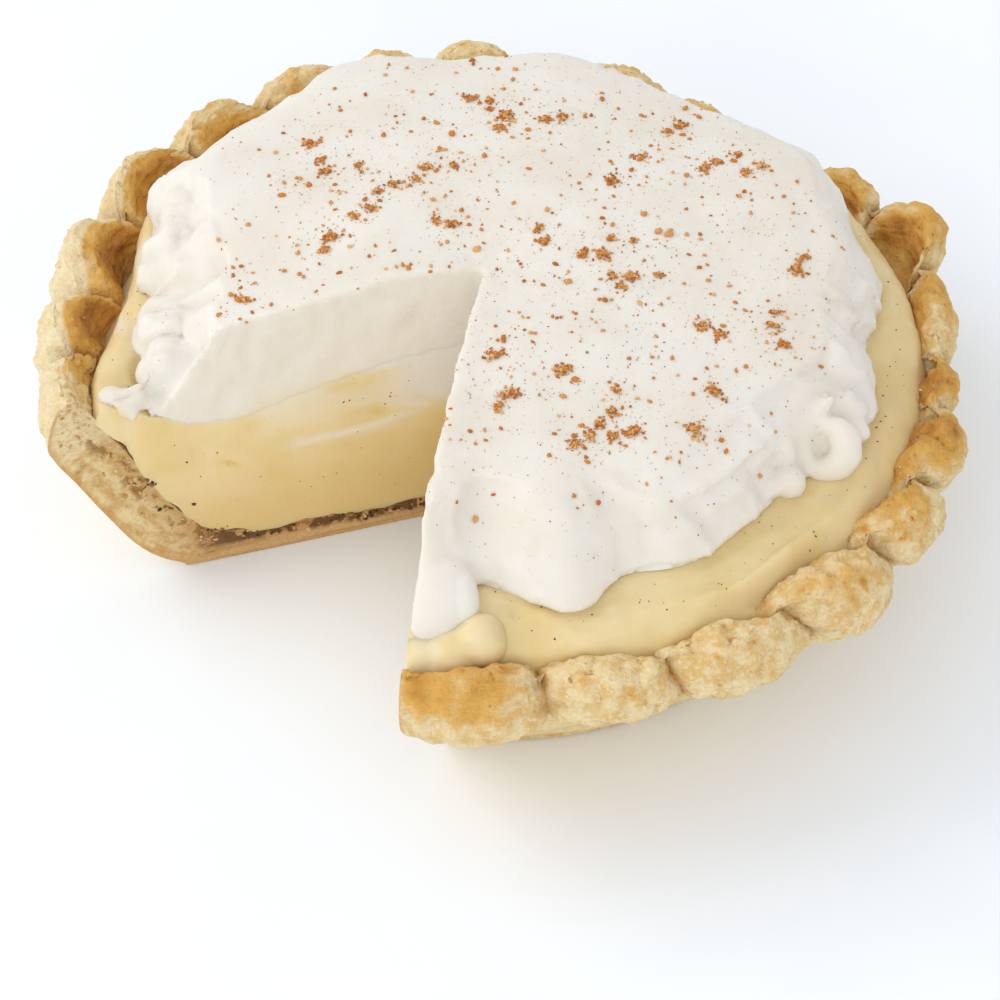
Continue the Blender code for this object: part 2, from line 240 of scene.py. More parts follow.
# Nutmeg clumps fused to the solid: patches of radius, direction and how many
NUTMEG_PATCHES = (
    (30, 359, 5), (38, 347, 3), (17, 115, 2), (41, 110, 3), (17, 23, 2), (77, 309, 4),
    (74, 32, 3), (78, 26, 2), (79, 356, 2), (75, 340, 3), (62, 298, 3), (68, 287, 2),
    (70, 91, 3), (56, 84, 3), (62, 73, 2), (40, 125, 2), (53, 127, 1), (58, 135, 2),
    (70, 130, 1), (37, 142, 2), (42, 161, 2), (64, 186, 1), (49, 276, 2), (70, 299, 2),
    (72, 319, 1), (59, 334, 2), (80, 47, 2), (60, 44, 1), (46, 41, 1), (45, 294, 1),
    (36, 272, 1),
)
CLUMP_SEED = 11
CLUMP_ACROSS = (1.7, 4.2)
PATCH_SPREAD = 5.0


# Small sums

def smooth_step(low, high, value):
    """Eases from 0 at low to 1 at high; low may be the larger."""
    share = min(1.0, max(0.0, (value - low) / (high - low)))
    return share * share * (3.0 - 2.0 * share)


def between(low, high, share):
    """The value at that share of the way from low to high."""
    return low + (high - low) * share


def bump(angle_deg, centre_deg, spread_deg):
    """A bell of height 1 round centre_deg, measured the short way round."""
    off = (angle_deg - centre_deg + 180.0) % 360.0 - 180.0
    return math.exp(-((off / spread_deg) ** 2))


def swells(table, degrees):
    """What a table of swellings adds up to there: direction and spread in degrees, and how much."""
    return sum(amount * bump(degrees, centre, spread) for centre, spread, amount in table)


def along(points, s):
    """The point at share s of a curve that passes evenly spaced points (Catmull-Rom)."""
    spans = len(points) - 1
    place = min(max(s, 0.0), 1.0) * spans
    index = min(int(place), spans - 1)
    u = place - index
    before = points[max(index - 1, 0)]
    start = points[index]
    end = points[index + 1]
    after = points[min(index + 2, spans)]
    return tuple(
        0.5 * (2 * b + (c - a) * u + (2 * a - 5 * b + 4 * c - d) * u ** 2 + (3 * b - a - 3 * c + d) * u ** 3)
        for a, b, c, d in zip(before, start, end, after)
    )


def eased(points, s):
    """A straight-line chart through points, for giving the fine parts of a section more steps."""
    for (low, start), (high, end) in zip(points, points[1:]):
        if s <= high:
            return between(start, end, (s - low) / (high - low))
    return points[-1][1]


def grain(place, size_mm, octaves=3, seed=0.0):
    """Fractal noise, about -1 to 1, whose features are size_mm across at place in metres."""
    at = Vector(place) / (size_mm * MM) + Vector((seed, seed * 1.7, -seed))
    return noise.fractal(at, 0.9, 2.1, octaves)


# The form of the bake

def on_a_cut(turn):
    """1 on either cut face, 0 between them, by the share of the sweep."""
    return 1.0 if turn < 1e-6 or turn > 1.0 - 1e-6 else 0.0


def uneven(amounts, angle):
    """How far the bake strays there, from swings once and twice round the pie."""
    once_cos, once_sin, twice_cos, twice_sin = amounts
    return (
        once_cos * math.cos(angle)
        + once_sin * math.sin(angle)
        + twice_cos * math.cos(2 * angle)
        + twice_sin * math.sin(2 * angle)
    )


def warped(radius, angle, height):
    """From the even section to the uneven bake, in metres."""
    reach = radius / RIM_RADIUS
    radius += uneven(WIDER, angle) * reach ** 2
    lift = uneven(HIGHER, angle) + swells(RIM_SAGS, math.degrees(angle))
    height += lift * reach ** 4 * height / RIM_HEIGHT
    return Vector((
        (APEX_X + radius * math.cos(angle)) * MM,
        (APEX_Y + radius * math.sin(angle)) * MM,
        height * MM,
    ))


def crimp_set(place):
    """How far out the rim stands, in mm, eased from each crimp to the next."""
    last = len(CRIMP_SETS) - 1
    index = min(max(int(place - 0.5), 0), last)
    share = smooth_step(0.0, 1.0, place - 0.5 - index)
    return between(CRIMP_SETS[index], CRIMP_SETS[min(index + 1, last)], share)


def cream_foot(degrees):
    """Radius of the cream's scalloped lower edge, in mm."""
    angle = math.radians(degrees)
    foot = CREAM_FOOT + CREAM_FOOT_BACK * math.sin(angle) + CREAM_FOOT_RIGHT * math.cos(angle)
    return foot + 0.7 * math.sin(13 * angle + 2.0) + swells(CREAM_LOBES + CREAM_STEPS_BACK, degrees)


def cream_fall(degrees):
    """How far in from its foot the cream's upper edge lies, in mm."""
    return CREAM_FALL + swells(CREAM_SLOPES, degrees) + 1.2 * math.sin(math.radians(degrees) * 9)


def seam_height(quarter, degrees):
    """Height where the custard ends and the cream starts, by quarters of the way out to the foot."""
    sag = bump(degrees, CUT_LEFT_DEG, SAG_SPREAD_DEG)
    index = min(int(quarter), len(SEAM_HEIGHTS) - 2)
    heights = [SEAM_HEIGHTS[i] - SEAM_SAG[i] * sag for i in (index, index + 1)]
    return between(*heights, quarter - index)


def cream_height(share, degrees):
    """Height of the cream's top at that share of the way out to its shoulder."""
    height = eased(CREAM_TOP, min(share, 1.0))
    angle = math.radians(degrees)
    waves = 0.8 * math.sin(3 * angle + 1.0) + 0.5 * math.sin(5 * angle)
    return height + share ** 2 * waves


# Pastry

SHELL_CHART = ((0.0, 0.0), (0.06, 0.1), (0.27, 0.4), (1.0, 1.0))
SHELL_SPANS = 62
SHELL_LAYERS = 9
CUTS_A_CRIMP = 25

# Where the oven browned the rim more: direction and spread in degrees, and how much
OVEN_BROWNED = (
    (20, 36, 0.32),
    (160, 26, 0.05),
    (264, 8, 0.62),
    (312, 14, 0.1),
    (344, 14, 0.5),
)
# Where the outer rims on the left are painted paler, as painted light: direction and spread in degrees, and
# how much
LEFT_RIMS_PAINTED_LIGHT = ((172, 32, 0.6),)
# Where the inner half of the crimps is golden: direction and spread in degrees, and how much
OVEN_GILDED = ((168, 34, 0.36),)


def pastry_form(s, t, turn):
    """Place of a point of the pastry, and what the baker's hands and the oven did there."""
    s = eased(SHELL_CHART, s)
    place = turn * len(CRIMP_WIDTHS)
    index = min(int(place + 1e-6), len(CRIMP_WIDTHS) - 1)
    u = place - index
    start = sum(CRIMP_WIDTHS[:index])
    lean = between(CREASE_LEANS[index - 1] if index else 0.0, CREASE_LEANS[index], u)
    phase = u
    if index == 0:
        phase = between(FIRST_CRIMP_STARTS, 1.0, u)
    elif index == len(CRIMP_WIDTHS) - 1:
        phase = between(0.0, LAST_CRIMP_ENDS, u)
    arch = abs(math.sin(math.pi * phase)) ** CRIMP_ROUNDNESS
    swell = arch * CRIMP_SIZES[index]

    middle = CUT_RIGHT_DEG + start + u * CRIMP_WIDTHS[index]
    radius_out, height_out = along(SHELL_OUTSIDE, s)
    fuller = smooth_step(0.05, 0.32, s) * (1.0 - smooth_step(0.5, 0.85, s))
    radius_out += WALL_FULLER * fuller * bump(middle, CUT_LEFT_DEG, WALL_FULLER_SPREAD_DEG)
    radius_in, height_in = along(SHELL_INSIDE, s)
    radius = between(radius_out, radius_in, t)
    height = between(height_out, height_in, t)
    rim = smooth_step(0.42, 0.72, s)
    sets_out = crimp_set(place)
    outward = CRIMP_BULGE * swell - CRIMP_PINCH + sets_out
    thumb = THUMB_DEPTH + swells(THUMB_DEPTHS, middle)
    hollow = thumb * max(0.0, CRIMP_HOLLOW * min(swell, 1.2) ** 2 + sets_out)
    hollow -= max(0.0, 1.0 - thumb) * CRIMP_INSIDE_FULLNESS * min(swell, 1.1)
    hollow -= swells(LEFT_SETS_IN, middle)
    radius += rim * between(outward, hollow, t ** 1.5)
    rise = (height - ROLL_CENTRE_HEIGHT) / ROLL_HALF_HEIGHT
    height += rim * rise * (CRIMP_TALLER * swell - 1.8)
    height -= CREASE_DIPS * rim * (1.0 - arch) * smooth_step(-0.2, 0.9, rise)
    side = (1.0 - 2.0 * t) * (1.0 - 0.7 * smooth_step(0.7, 1.0, s))
    degrees = middle + lean * side * rim
    facts = {
        "rim": rim,
        "crown": rim * smooth_step(0.15, 1.0, arch) * smooth_step(-0.35, 0.9, rise),
        "crease": rim * (1.0 - smooth_step(0.0, 0.42, arch)),
        "hollow": thumb * rim * t ** 1.5 * smooth_step(0.3, 1.0, swell) * (1.0 - smooth_step(0.82, 1.0, s)),
        "cut": on_a_cut(turn),
        "inner": t,
        "low": 1.0 - smooth_step(0.0, 0.5, s),
    }
    return warped(radius, math.radians(degrees), height), facts


# Custard

# Mounds and dents on the band: direction and spread in degrees, share of the way from the cream
# to the pastry and its spread, and height in mm
BAND_MARKS = (
    (266.6, 3.2, 0.80, 0.26, 3.4),
    (260.5, 3.6, 0.95, 0.30, 3.0),
    (272.0, 2.6, 0.25, 0.25, -1.6),
    (305.5, 5.0, 0.87, 0.08, -3.6),
    (309.0, 9.0, 0.70, 0.09, 3.0),
    (296.0, 6.0, 0.62, 0.10, 1.4),
    (312.5, 3.0, 0.90, 0.10, -1.4),
    (299.0, 5.0, 0.45, 0.22, -0.9),
    (320.0, 4.0, 0.80, 0.20, 1.6),
    (324.0, 3.0, 0.55, 0.14, -1.2),
    (331.0, 3.0, 0.90, 0.25, -1.0),
    (286.0, 5.0, 0.70, 0.30, 0.8),
    (161.0, 5.0, 0.60, 0.40, 1.2),
    (176.0, 4.0, 0.50, 0.40, -1.2),
)
# Where cream was wiped over the band: direction and spread in degrees, and how much
BAND_WHITENED = (
    (166, 22, 0.6),
    (264, 5, 0.35),
    (330, 20, 0.12),
)
# Where the band is painted yellower and deeper, as painted shade on its right: direction and spread in
# degrees, and how much
BAND_PAINTED_SHADE = (
    (318, 14, 0.6),
    (340, 14, 0.9),
    (0, 20, 0.5),
)
# Lumps of custard squeezed out beside the right cut: radius, direction, height, size outward,
# sideways and upward, yaw and pitch
CUSTARD_BLOBS = (
    (107.5, 267.1, 59.2, (7.0, 6.6, 6.4), 0, 10),
    (110.4, 263.2, 57.6, (8.0, 7.0, 5.2), 0, 16),
    (110.6, 259.8, 56.6, (8.0, 5.0, 5.2), 0, 16),
)
LUMP_VOXEL_MM = 0.8
LUMP_SMOOTHINGS = 8
BAND_MEETS_CRUST = 3.0
BAND_CLEARS_LEFT = 1.4
UNDER_CREAM_MM = 2.5
SMEARED_OVER_CRUST_MM = 2.0
FACE_PROUD_MM = 0.14
FACE_SINKS_AT_SEAM_MM = 0.5
PIT_DEPTH_MM = 0.9
FILLING_SPANS = 48
FILLING_LAYERS = 26
FILLING_STEPS = (24, 17)
# Pits left by air in the left cut face: distance from the axis, height, radius, in mm
AIR_PITS = (
    (17.8, 65.6, 2.3),
    (18.4, 44.7, 2.2),
    (31.6, 42.9, 1.6),
    (17.9, 16.7, 1.4),
    (58.0, 25.0, 1.2),
    (74.0, 34.0, 1.0),
)


def filling_form(s, t, turn):
    """Place of a point of the custard, and whether it is on the band or on a cut face."""
    degrees = CUT_RIGHT_DEG + turn * SWEEP_DEG
    low_radius, low_height = along(FILLING_UNDERSIDE, s)
    foot = cream_foot(degrees)
    quarters = len(SEAM_HEIGHTS) - 1
    sag = bump(degrees, CUT_LEFT_DEG, SAG_SPREAD_DEG)
    at_cut = on_a_cut(turn)
    if at_cut:
        smeared = SMEARED_OVER_CRUST_MM * (0.35 + grain((low_radius * MM, 0.0, turn), 9.0, 3, 11.0))
        low_radius += smeared * smooth_step(0.3, 0.6, s)
        low_height -= smeared * (1.0 - 0.6 * smooth_step(0.3, 0.6, s))
    if s <= 0.5:
        high_radius = foot * s * 2.0
        high_height = seam_height(s * 2.0 * quarters, degrees)
        high_height += UNDER_CREAM_MM * (1.0 - smooth_step(0.36, 0.5, s))
    else:
        start = (0.0, SEAM_HEIGHTS[-1])
        share, high_height = along((start,) + tuple(zip(BAND_SHARES, BAND_HEIGHTS)), s * 2.0 - 1.0)
        blob = bump(degrees, *BLOB)
        edge = BAND_EDGE + BAND_MEETS_CRUST - BAND_CLEARS_LEFT * swells(LEFT_SETS_IN, degrees)
        high_radius = between(foot, edge, share) + BLOB_OUT * blob * share
        high_height += 0.3 * BLOB_UP * blob * share - SEAM_SAG[-1] * sag * (1.0 - share)
        high_height += sum(
            up * bump(degrees, centre, spread) * math.exp(-(((share - where) / wide) ** 2))
            for centre, spread, where, wide, up in BAND_MARKS
        )
    radius = between(low_radius, high_radius, t)
    height = between(low_height, high_height, t)
    facts = {
        "band": smooth_step(0.5, 0.56, s) * smooth_step(0.9, 1.0, t),
        "cut": at_cut,
        "left": 1.0 if turn > 0.5 else 0.0,
        "out_mm": radius,
        "up_mm": height,
        "edge": smooth_step(0.86, 1.0, s),
    }
    return warped(radius, math.radians(degrees), height), facts


# Whipped cream

CREAM_SPANS = 48
CREAM_LAYERS = 22
CREAM_STEPS = (24, 17)
CREAM_VOXEL_MM = 0.98
CREAM_SMOOTHINGS = 2


def cream_form(s, t, turn):
    """Place of a point of the cream as it was spread, before the blobs are pressed on."""
    degrees = CUT_RIGHT_DEG + turn * SWEEP_DEG
    foot = cream_foot(degrees)
    fall = cream_fall(degrees)
    quarters = len(SEAM_HEIGHTS) - 1
    low_height = seam_height(s * quarters, degrees) - CREAM_SINKS_MM
    low_height -= UNDER_CUSTARD_MM * (1.0 - smooth_step(0.88, 0.99, s))
    if on_a_cut(turn):
        wander = CUT_WANDERS_MM * grain((s * 0.09, 0.0, t * 0.03 + turn), 7.0, 3, 13.0)
        wander *= smooth_step(0.0, 0.5, t)
        degrees += math.degrees(wander / max(20.0, foot * s)) * (1.0 if turn > 0.5 else -1.0)
    top_share, _ = along(CREAM_TOP, s)
    high_radius = (foot - fall) * top_share
    high_height = cream_height(top_share, degrees)
    fullness = CREAM_SIDE_FULLNESS - CREAM_SIDE_HOLLOW * bump(degrees, CUT_LEFT_DEG, 14)
    radius = between(foot * s, high_radius, t)
    radius += fullness * fall * math.sin(math.pi * t ** 0.8) * smooth_step(0.7, 1.0, s)
    height = between(low_height, high_height, t)

    edge = smooth_step(0.86, 1.0, s)
    stands_out = sum(
        amount * bump(degrees, centre + slant * (t - up), spread) * math.exp(-(((t - up) / tall) ** 2))
        for centre, spread, up, tall, slant, amount in CREAM_FOLDS
    )
    lip = 1.1 * math.exp(-(((t - 0.14) / 0.1) ** 2)) - 0.8 * math.exp(-((t / 0.05) ** 2))
    radius += edge * (stands_out + lip) * smooth_step(0.0, 0.05, t)
    height += edge * 0.35 * stands_out * math.sin(math.pi * t)
    return warped(radius, math.radians(degrees), height), {"edge": edge}


def spun(spans, layers, coarse_steps, cuts, form):
    """A sheet of spans by layers quads, spun round the axis in coarse steps that are then cut
    finer, and each vertex moved by form(s, t, turn)."""
    bm = bmesh.new()
    bmesh.ops.create_grid(bm, x_segments=spans, y_segments=layers, size=0.5)
    _, told = form(0.5, 0.5, 0.5)
    for name in ("s", "t", "turn", *told):
        bm.verts.layers.float.new(name)
    fact = bm.verts.layers.float
    for vert in bm.verts:
        vert[fact["s"]] = vert.co.x + 0.5
        vert[fact["t"]] = vert.co.y + 0.5
        vert.co = Vector((vert.co.x + 0.5, 0.0, vert.co.y + 0.5))
    bmesh.ops.spin(
        bm,
        geom=bm.verts[:] + bm.edges[:] + bm.faces[:],
        cent=(0.0, 0.0, 0.0),
        axis=(0.0, 0.0, 1.0),
        dvec=(0.0, 0.0, 0.0),
        angle=math.radians(SWEEP_DEG),
        steps=coarse_steps,
        use_merge=False,
    )
    bmesh.ops.remove_doubles(bm, verts=bm.verts, dist=1e-5)
    for vert in bm.verts:
        turned = math.degrees(math.atan2(vert.co.y, vert.co.x)) % 360.0
        if turned > SWEEP_DEG + 1.0 or vert[fact["s"]] < 1e-4:
            turned = 0.0
        vert[fact["turn"]] = round(turned / SWEEP_DEG * coarse_steps) / coarse_steps
    round_edges = [
        edge for edge in bm.edges
        if abs(edge.verts[0][fact["turn"]] - edge.verts[1][fact["turn"]]) > 1e-4
        and min(vert[fact["s"]] for vert in edge.verts) > 1e-4
    ]
    bmesh.ops.subdivide_edges(bm, edges=round_edges, cuts=cuts, use_grid_fill=False)
    for vert in bm.verts:
        vert.co, facts = form(vert[fact["s"]], vert[fact["t"]], vert[fact["turn"]])
        for name, value in facts.items():
            vert[fact[name]] = value
    bmesh.ops.recalc_face_normals(bm, faces=bm.faces)
    if bm.calc_volume(signed=True) < 0.0:
        bmesh.ops.reverse_faces(bm, faces=bm.faces)
    bm.normal_update()
    return bm


SHARP_EDGE_DEG = 55.0


def as_object(bm, name, material=None, smooth=True):
    """The mesh under construction as a piece of its own, at the origin."""
    mesh = bpy.data.meshes.new(name)
    bm.to_mesh(mesh)
    bm.free()
    if smooth:
        mesh.shade_smooth()
        mesh.set_sharp_from_angle(angle=math.radians(SHARP_EDGE_DEG))
    piece = bpy.data.objects.new(name, mesh)
    bpy.context.scene.collection.objects.link(piece)
    if material:
        mesh.materials.append(material)
    return piece


def grains(bm, name, material):
    """Loose bits as one piece, their facets left flat."""
    return as_object(bm, name, material, smooth=False)


def roughen(bm, relief):
    """Moves every vertex along its normal by relief(vert) in mm."""
    moves = [relief(vert) for vert in bm.verts]
    for vert, move in zip(bm.verts, moves):
        vert.co += vert.normal * (move * MM)
    bm.normal_update()


def from_apex(place):
    """Across and along the table from the apex of the cut, in mm."""
    return place.x / MM - APEX_X, place.y / MM - APEX_Y


def polar(place):
    """Direction in degrees and radius in mm, seen from the apex of the cut."""
    x, y = from_apex(place)
    return math.degrees(math.atan2(y, x)) % 360.0, math.hypot(x, y)


def make_crust():
    """The pastry shell: swept, roughened, then browned by the oven, with painted shade in the hollows behind
    the crimps and the creases between them, and painted light on the outer rims at the left.
    """
    bm = spun(SHELL_SPANS, SHELL_LAYERS, len(CRIMP_WIDTHS), CUTS_A_CRIMP, pastry_form)
    for name in ("browning_and_shade", "painted_light"):
        bm.verts.layers.float.new(name)
    fact = bm.verts.layers.float

    def relief(vert):
        degrees, radius = polar(vert.co)
        up = vert.co.z / MM
        rim = vert[fact["rim"]]
        if up < 0.5:
            return 0.0
        lumps = 0.9 * grain(vert.co, 9.0, 3, 3.0)
        mealy = 0.5 * grain(vert.co, 3.2, 3, 9.0)
        sheets = Vector((radius * 0.35 * MM, math.radians(degrees) * 40.0 * MM, up * 1.6 * MM))
        layered = 0.55 * grain(sheets, 2.6, 3, 5.0)
        pulled = Vector((radius * MM, math.radians(degrees) * 260.0 * MM, up * MM))
        wrinkles = -1.5 * (0.3 + 0.7 * vert[fact["crease"]]) * abs(grain(pulled, 5.0, 3, 7.0))
        slanted = Vector((radius * 0.6 * MM + vert.co.z, math.radians(degrees) * 150.0 * MM, 0.4 * vert.co.z))
        wrinkles -= 0.9 * max(0.0, 0.22 - abs(grain(slanted, 11.0, 2, 41.0))) / 0.22
        thumb = -0.7 * vert[fact["hollow"]]
        amount = rim * (lumps + layered + wrinkles + thumb) + mealy * (0.35 + 0.65 * rim)
        amount += (1.0 - rim) * 0.5 * lumps
        if vert[fact["cut"]] > 0.5:
            flaky = Vector((vert[fact["s"]] * 0.09, vert[fact["t"]] * 0.012, 0.0))
            through = vert[fact["t"]]
            amount = (1.0 - 0.5 * rim) * grain(flaky, 4.5, 3, 2.0) + 0.4 * grain(vert.co, 3.0, 2, 4.0) - 0.5
            within = smooth_step(0.0, 0.12, min(through, 1.0 - through))
            amount *= within * smooth_step(1.0, 0.94, vert[fact["s"]])
        if vert[fact["inner"]] > 0.5 and rim < 0.6:
            amount = min(amount, 0.1)
        return amount * smooth_step(0.4, 5.0, up)

    roughen(bm, relief)
    for vert in bm.verts:
        patch = 0.5 + 0.5 * grain(vert.co, 13.0, 3, 21.0)
        spots = smooth_step(0.35, 0.75, grain(vert.co, 5.0, 3, 33.0))
        degrees, radius = polar(vert.co)
        oven = 0.2 + swells(OVEN_BROWNED, degrees)
        crown = vert[fact["crown"]]
        brown = oven * crown * (0.3 + 1.1 * patch) + 0.55 * crown * spots * patch
        # Painted shade: the thumb's hollows behind the crimps and the creases between them are darkened
        brown += 0.9 * vert[fact["hollow"]] * (0.45 + 0.6 * patch) + 0.22 * vert[fact["crease"]]
        brown += 0.14 * vert[fact["rim"]] * (1.0 - crown) * patch
        inner_half = vert[fact["rim"]] * smooth_step(0.4, 0.7, vert[fact["inner"]])
        brown += swells(OVEN_GILDED, degrees) * inner_half * (0.45 + 0.75 * patch)
        brown *= (1.0 - 0.7 * bump(degrees, 190, 4)) * (1.0 - 0.75 * vert[fact["cut"]])
        vert[fact["browning_and_shade"]] = min(1.0, max(0.0, brown))
        # Painted light: the outer half of the rims on the left is made paler
        vert[fact["painted_light"]] = swells(LEFT_RIMS_PAINTED_LIGHT, degrees) * (1.0 - inner_half)
    return bm


# Height of the cream's lower limit on a cut face, by distance from its inner edge
CREAM_LIMIT = (
    (0.0, 58.0),
    (20.0, 57.5),
    (52.0, 57.0),
    (64.0, 53.0),
    (75.0, 49.5),
    (86.0, 51.0),
    (93.0, 55.0),
    (99.0, 62.0),
    (120.0, 64.0),
)
# Height of the white streak that the knife drew, by distance from the face's inner edge
WHITE_STREAK = ((0.0, 47.0), (16.6, 42.4), (30.6, 37.2), (60.7, 36.3), (110.0, 33.0))


def creaminess(out, up):
    """How white a cut face is, out mm from its inner edge and up mm high: white where the cream is, paler
    below it where the knife dragged cream down, whiter still by the apex, partly cream and partly painted
    light against the corner's shade, and one white streak."""
    drag = Vector((out * 0.5 * MM, 0.0, (up - 0.12 * out) * MM))
    rough = grain(drag, 12.0, 4, 12.0)
    seam = eased(CREAM_LIMIT, out)
    sharp = smooth_step(58.0, 76.0, out)
    soft = between(7.0, 1.2, sharp)
    white = smooth_step(-soft, soft * 0.6, up - seam + between(4.0, 0.8, sharp) * rough)
    dragged = 0.42 * smooth_step(36.0, 46.0, up) * (1.0 - sharp) * smooth_step(-0.35, 0.3, rough)
    # By the apex: dragged cream, made whiter still as painted light against the shade in the corner
    dragged += 0.9 * smooth_step(34.0, 12.0, out) * smooth_step(36.0, 50.0, up)
    streak_mid = eased(WHITE_STREAK, out)
    streak = math.exp(-(((up - streak_mid + 0.7 * rough) / 1.4) ** 2))
    streak *= 0.85 * smooth_step(8.0, 17.0, out) * (1.0 - smooth_step(50.0, 64.0, out))
    return min(1.0, max(white, dragged + 0.5 * white, streak))


def take_in(bm, extra):
    """Adds another mesh under construction to bm."""
    mesh = bpy.data.meshes.new("taken_in")
    extra.to_mesh(mesh)
    extra.free()
    bm.from_mesh(mesh)
    bpy.data.meshes.remove(mesh)


def make_custard():
    """The filling with its lump and air pits, and the cream that was wiped over it."""
    bm = spun(FILLING_SPANS, FILLING_LAYERS, *FILLING_STEPS, filling_form)
    lump = pressed_together([ball(*blob) for blob in CUSTARD_BLOBS], LUMP_VOXEL_MM, LUMP_SMOOTHINGS)
    lump = trimmed_at_cut(lump)
    band = lump.verts.layers.float.new("band")
    for vert in lump.verts:
        vert[band] = 1.0
    take_in(bm, lump)
    bm.normal_update()
    for name in ("smear_and_painted_light", "pit", "shaded"):
        bm.verts.layers.float.new(name)
    fact = bm.verts.layers.float
    smear_and_painted_light = fact["smear_and_painted_light"]
    pit = fact["pit"]

    def relief(vert):
        degrees, radius = polar(vert.co)
        swirl = Vector((radius * MM, math.radians(degrees) * 30.0 * MM, 0.0))
        band = vert[fact["band"]] * (grain(swirl, 11.0, 3, 4.0) + 0.35 * grain(vert.co, 5.0, 3, 1.0))
        face = 0.0
        if vert[fact["cut"]] > 0.5 and vert[fact["band"]] < 0.5:
            drag = Vector((vert[fact["out_mm"]] * MM, 0.0, vert[fact["up_mm"]] * 0.16 * MM))
            face = FACE_PROUD_MM + 0.12 * grain(drag, 5.0, 3, 6.0) + 0.1 * grain(vert.co, 9.0, 2, 8.0)
            if vert[fact["s"]] < 0.49:
                face -= FACE_SINKS_AT_SEAM_MM * smooth_step(0.9, 1.0, vert[fact["t"]])
            for out, up, size in AIR_PITS:
                off = math.hypot(vert[fact["out_mm"]] - out, vert[fact["up_mm"]] - up) / size
                if vert[fact["left"]] > 0.5 and off < 2.5:
                    face -= PIT_DEPTH_MM * math.exp(-off * off)
                    vert[pit] = max(vert[pit], math.exp(-off * off))
        return band + face

    roughen(bm, relief)
    for vert in bm.verts:
        degrees, radius = polar(vert.co)
        if vert[fact["cut"]] > 0.5:
            vert[smear_and_painted_light] = creaminess(vert[fact["out_mm"]], vert[fact["up_mm"]])
        elif vert[fact["band"]] > 0.5:
            patch = smooth_step(-0.3, 0.5, grain(vert.co, 9.0, 3, 17.0))
            vert[smear_and_painted_light] = patch * swells(BAND_WHITENED, degrees)
            # Painted shade on the right of the band
            vert[fact["shaded"]] = swells(BAND_PAINTED_SHADE, degrees) * (0.7 + 0.6 * patch)
    return bm


def ball(radius, degrees, height, size, yaw_deg=0.0, pitch_deg=0.0):
    """A rounded blob, its size given outward, sideways and upward; pitched down outward."""
    bm = bmesh.new()
    bmesh.ops.create_uvsphere(bm, u_segments=28, v_segments=14, radius=1.0)
    yaw = Matrix.Rotation(math.radians(degrees + yaw_deg), 4, "Z")
    pitch = Matrix.Rotation(math.radians(pitch_deg), 4, "Y")
    grown = Matrix.Diagonal((*(Vector(size) * MM), 1.0))
    place = Matrix.Translation(warped(radius, math.radians(degrees), height))
    bmesh.ops.transform(bm, matrix=place @ (yaw @ pitch) @ grown, verts=bm.verts)
    return bm


# The curl's middle by radius, direction and height, and how it tips back and turns
CURL_PLACE = (97.0, 327.4, 67.4)
CURL_TILT_DEG = (46.0, 0.0, -4.0)
# The rope it is rolled from, as seen from the front: across, up, half its thickness, in mm
CURL_ROPE = (
    (0.5, 12.0, 1.4),
    (-3.8, 8.4, 1.9),
    (-6.2, 4.2, 2.0),
    (-6.9, -0.5, 2.1),
    (-5.6, -4.6, 2.5),
    (-2.0, -6.0, 3.0),
    (2.2, -4.4, 3.9),
    (4.0, -1.6, 4.5),
    (3.9, 1.4, 4.4),
    (2.0, 4.4, 3.4),
    (-0.6, 5.4, 2.2),
)
CURL_BALLS = 5


def cream_curl():
    """The curl: a thickening rope of cream rolled up nearly closed, a slit left in its middle."""
    bm = bmesh.new()
    for start, end in zip(CURL_ROPE, CURL_ROPE[1:]):
        for step in range(CURL_BALLS):
            across, up, thick = Vector(start).lerp(Vector(end), step / CURL_BALLS)
            knob = bmesh.ops.create_icosphere(bm, subdivisions=2, radius=thick * MM)["verts"]
            bmesh.ops.translate(bm, verts=knob, vec=Vector((across, up, 0.0)) * MM)
    tilt = Euler([math.radians(angle) for angle in CURL_TILT_DEG]).to_matrix().to_4x4()
    radius, degrees, height = CURL_PLACE
    place = Matrix.Translation(warped(radius, math.radians(degrees), height))
    bmesh.ops.transform(bm, matrix=place @ tilt, verts=bm.verts)
    return bm


def trimmed_at_cut(bm):
    """Slices off what stands past the right cut and closes the slice."""
    cut = math.radians(CUT_RIGHT_DEG)
    bmesh.ops.bisect_plane(
        bm,
        geom=bm.verts[:] + bm.edges[:] + bm.faces[:],
        plane_co=(APEX_X * MM, APEX_Y * MM, 0.0),
        plane_no=(math.sin(cut), -math.cos(cut), 0.0),
        clear_outer=True,
    )
    bmesh.ops.holes_fill(bm, edges=[edge for edge in bm.edges if edge.is_boundary])
    bmesh.ops.recalc_face_normals(bm, faces=bm.faces)
    return bm


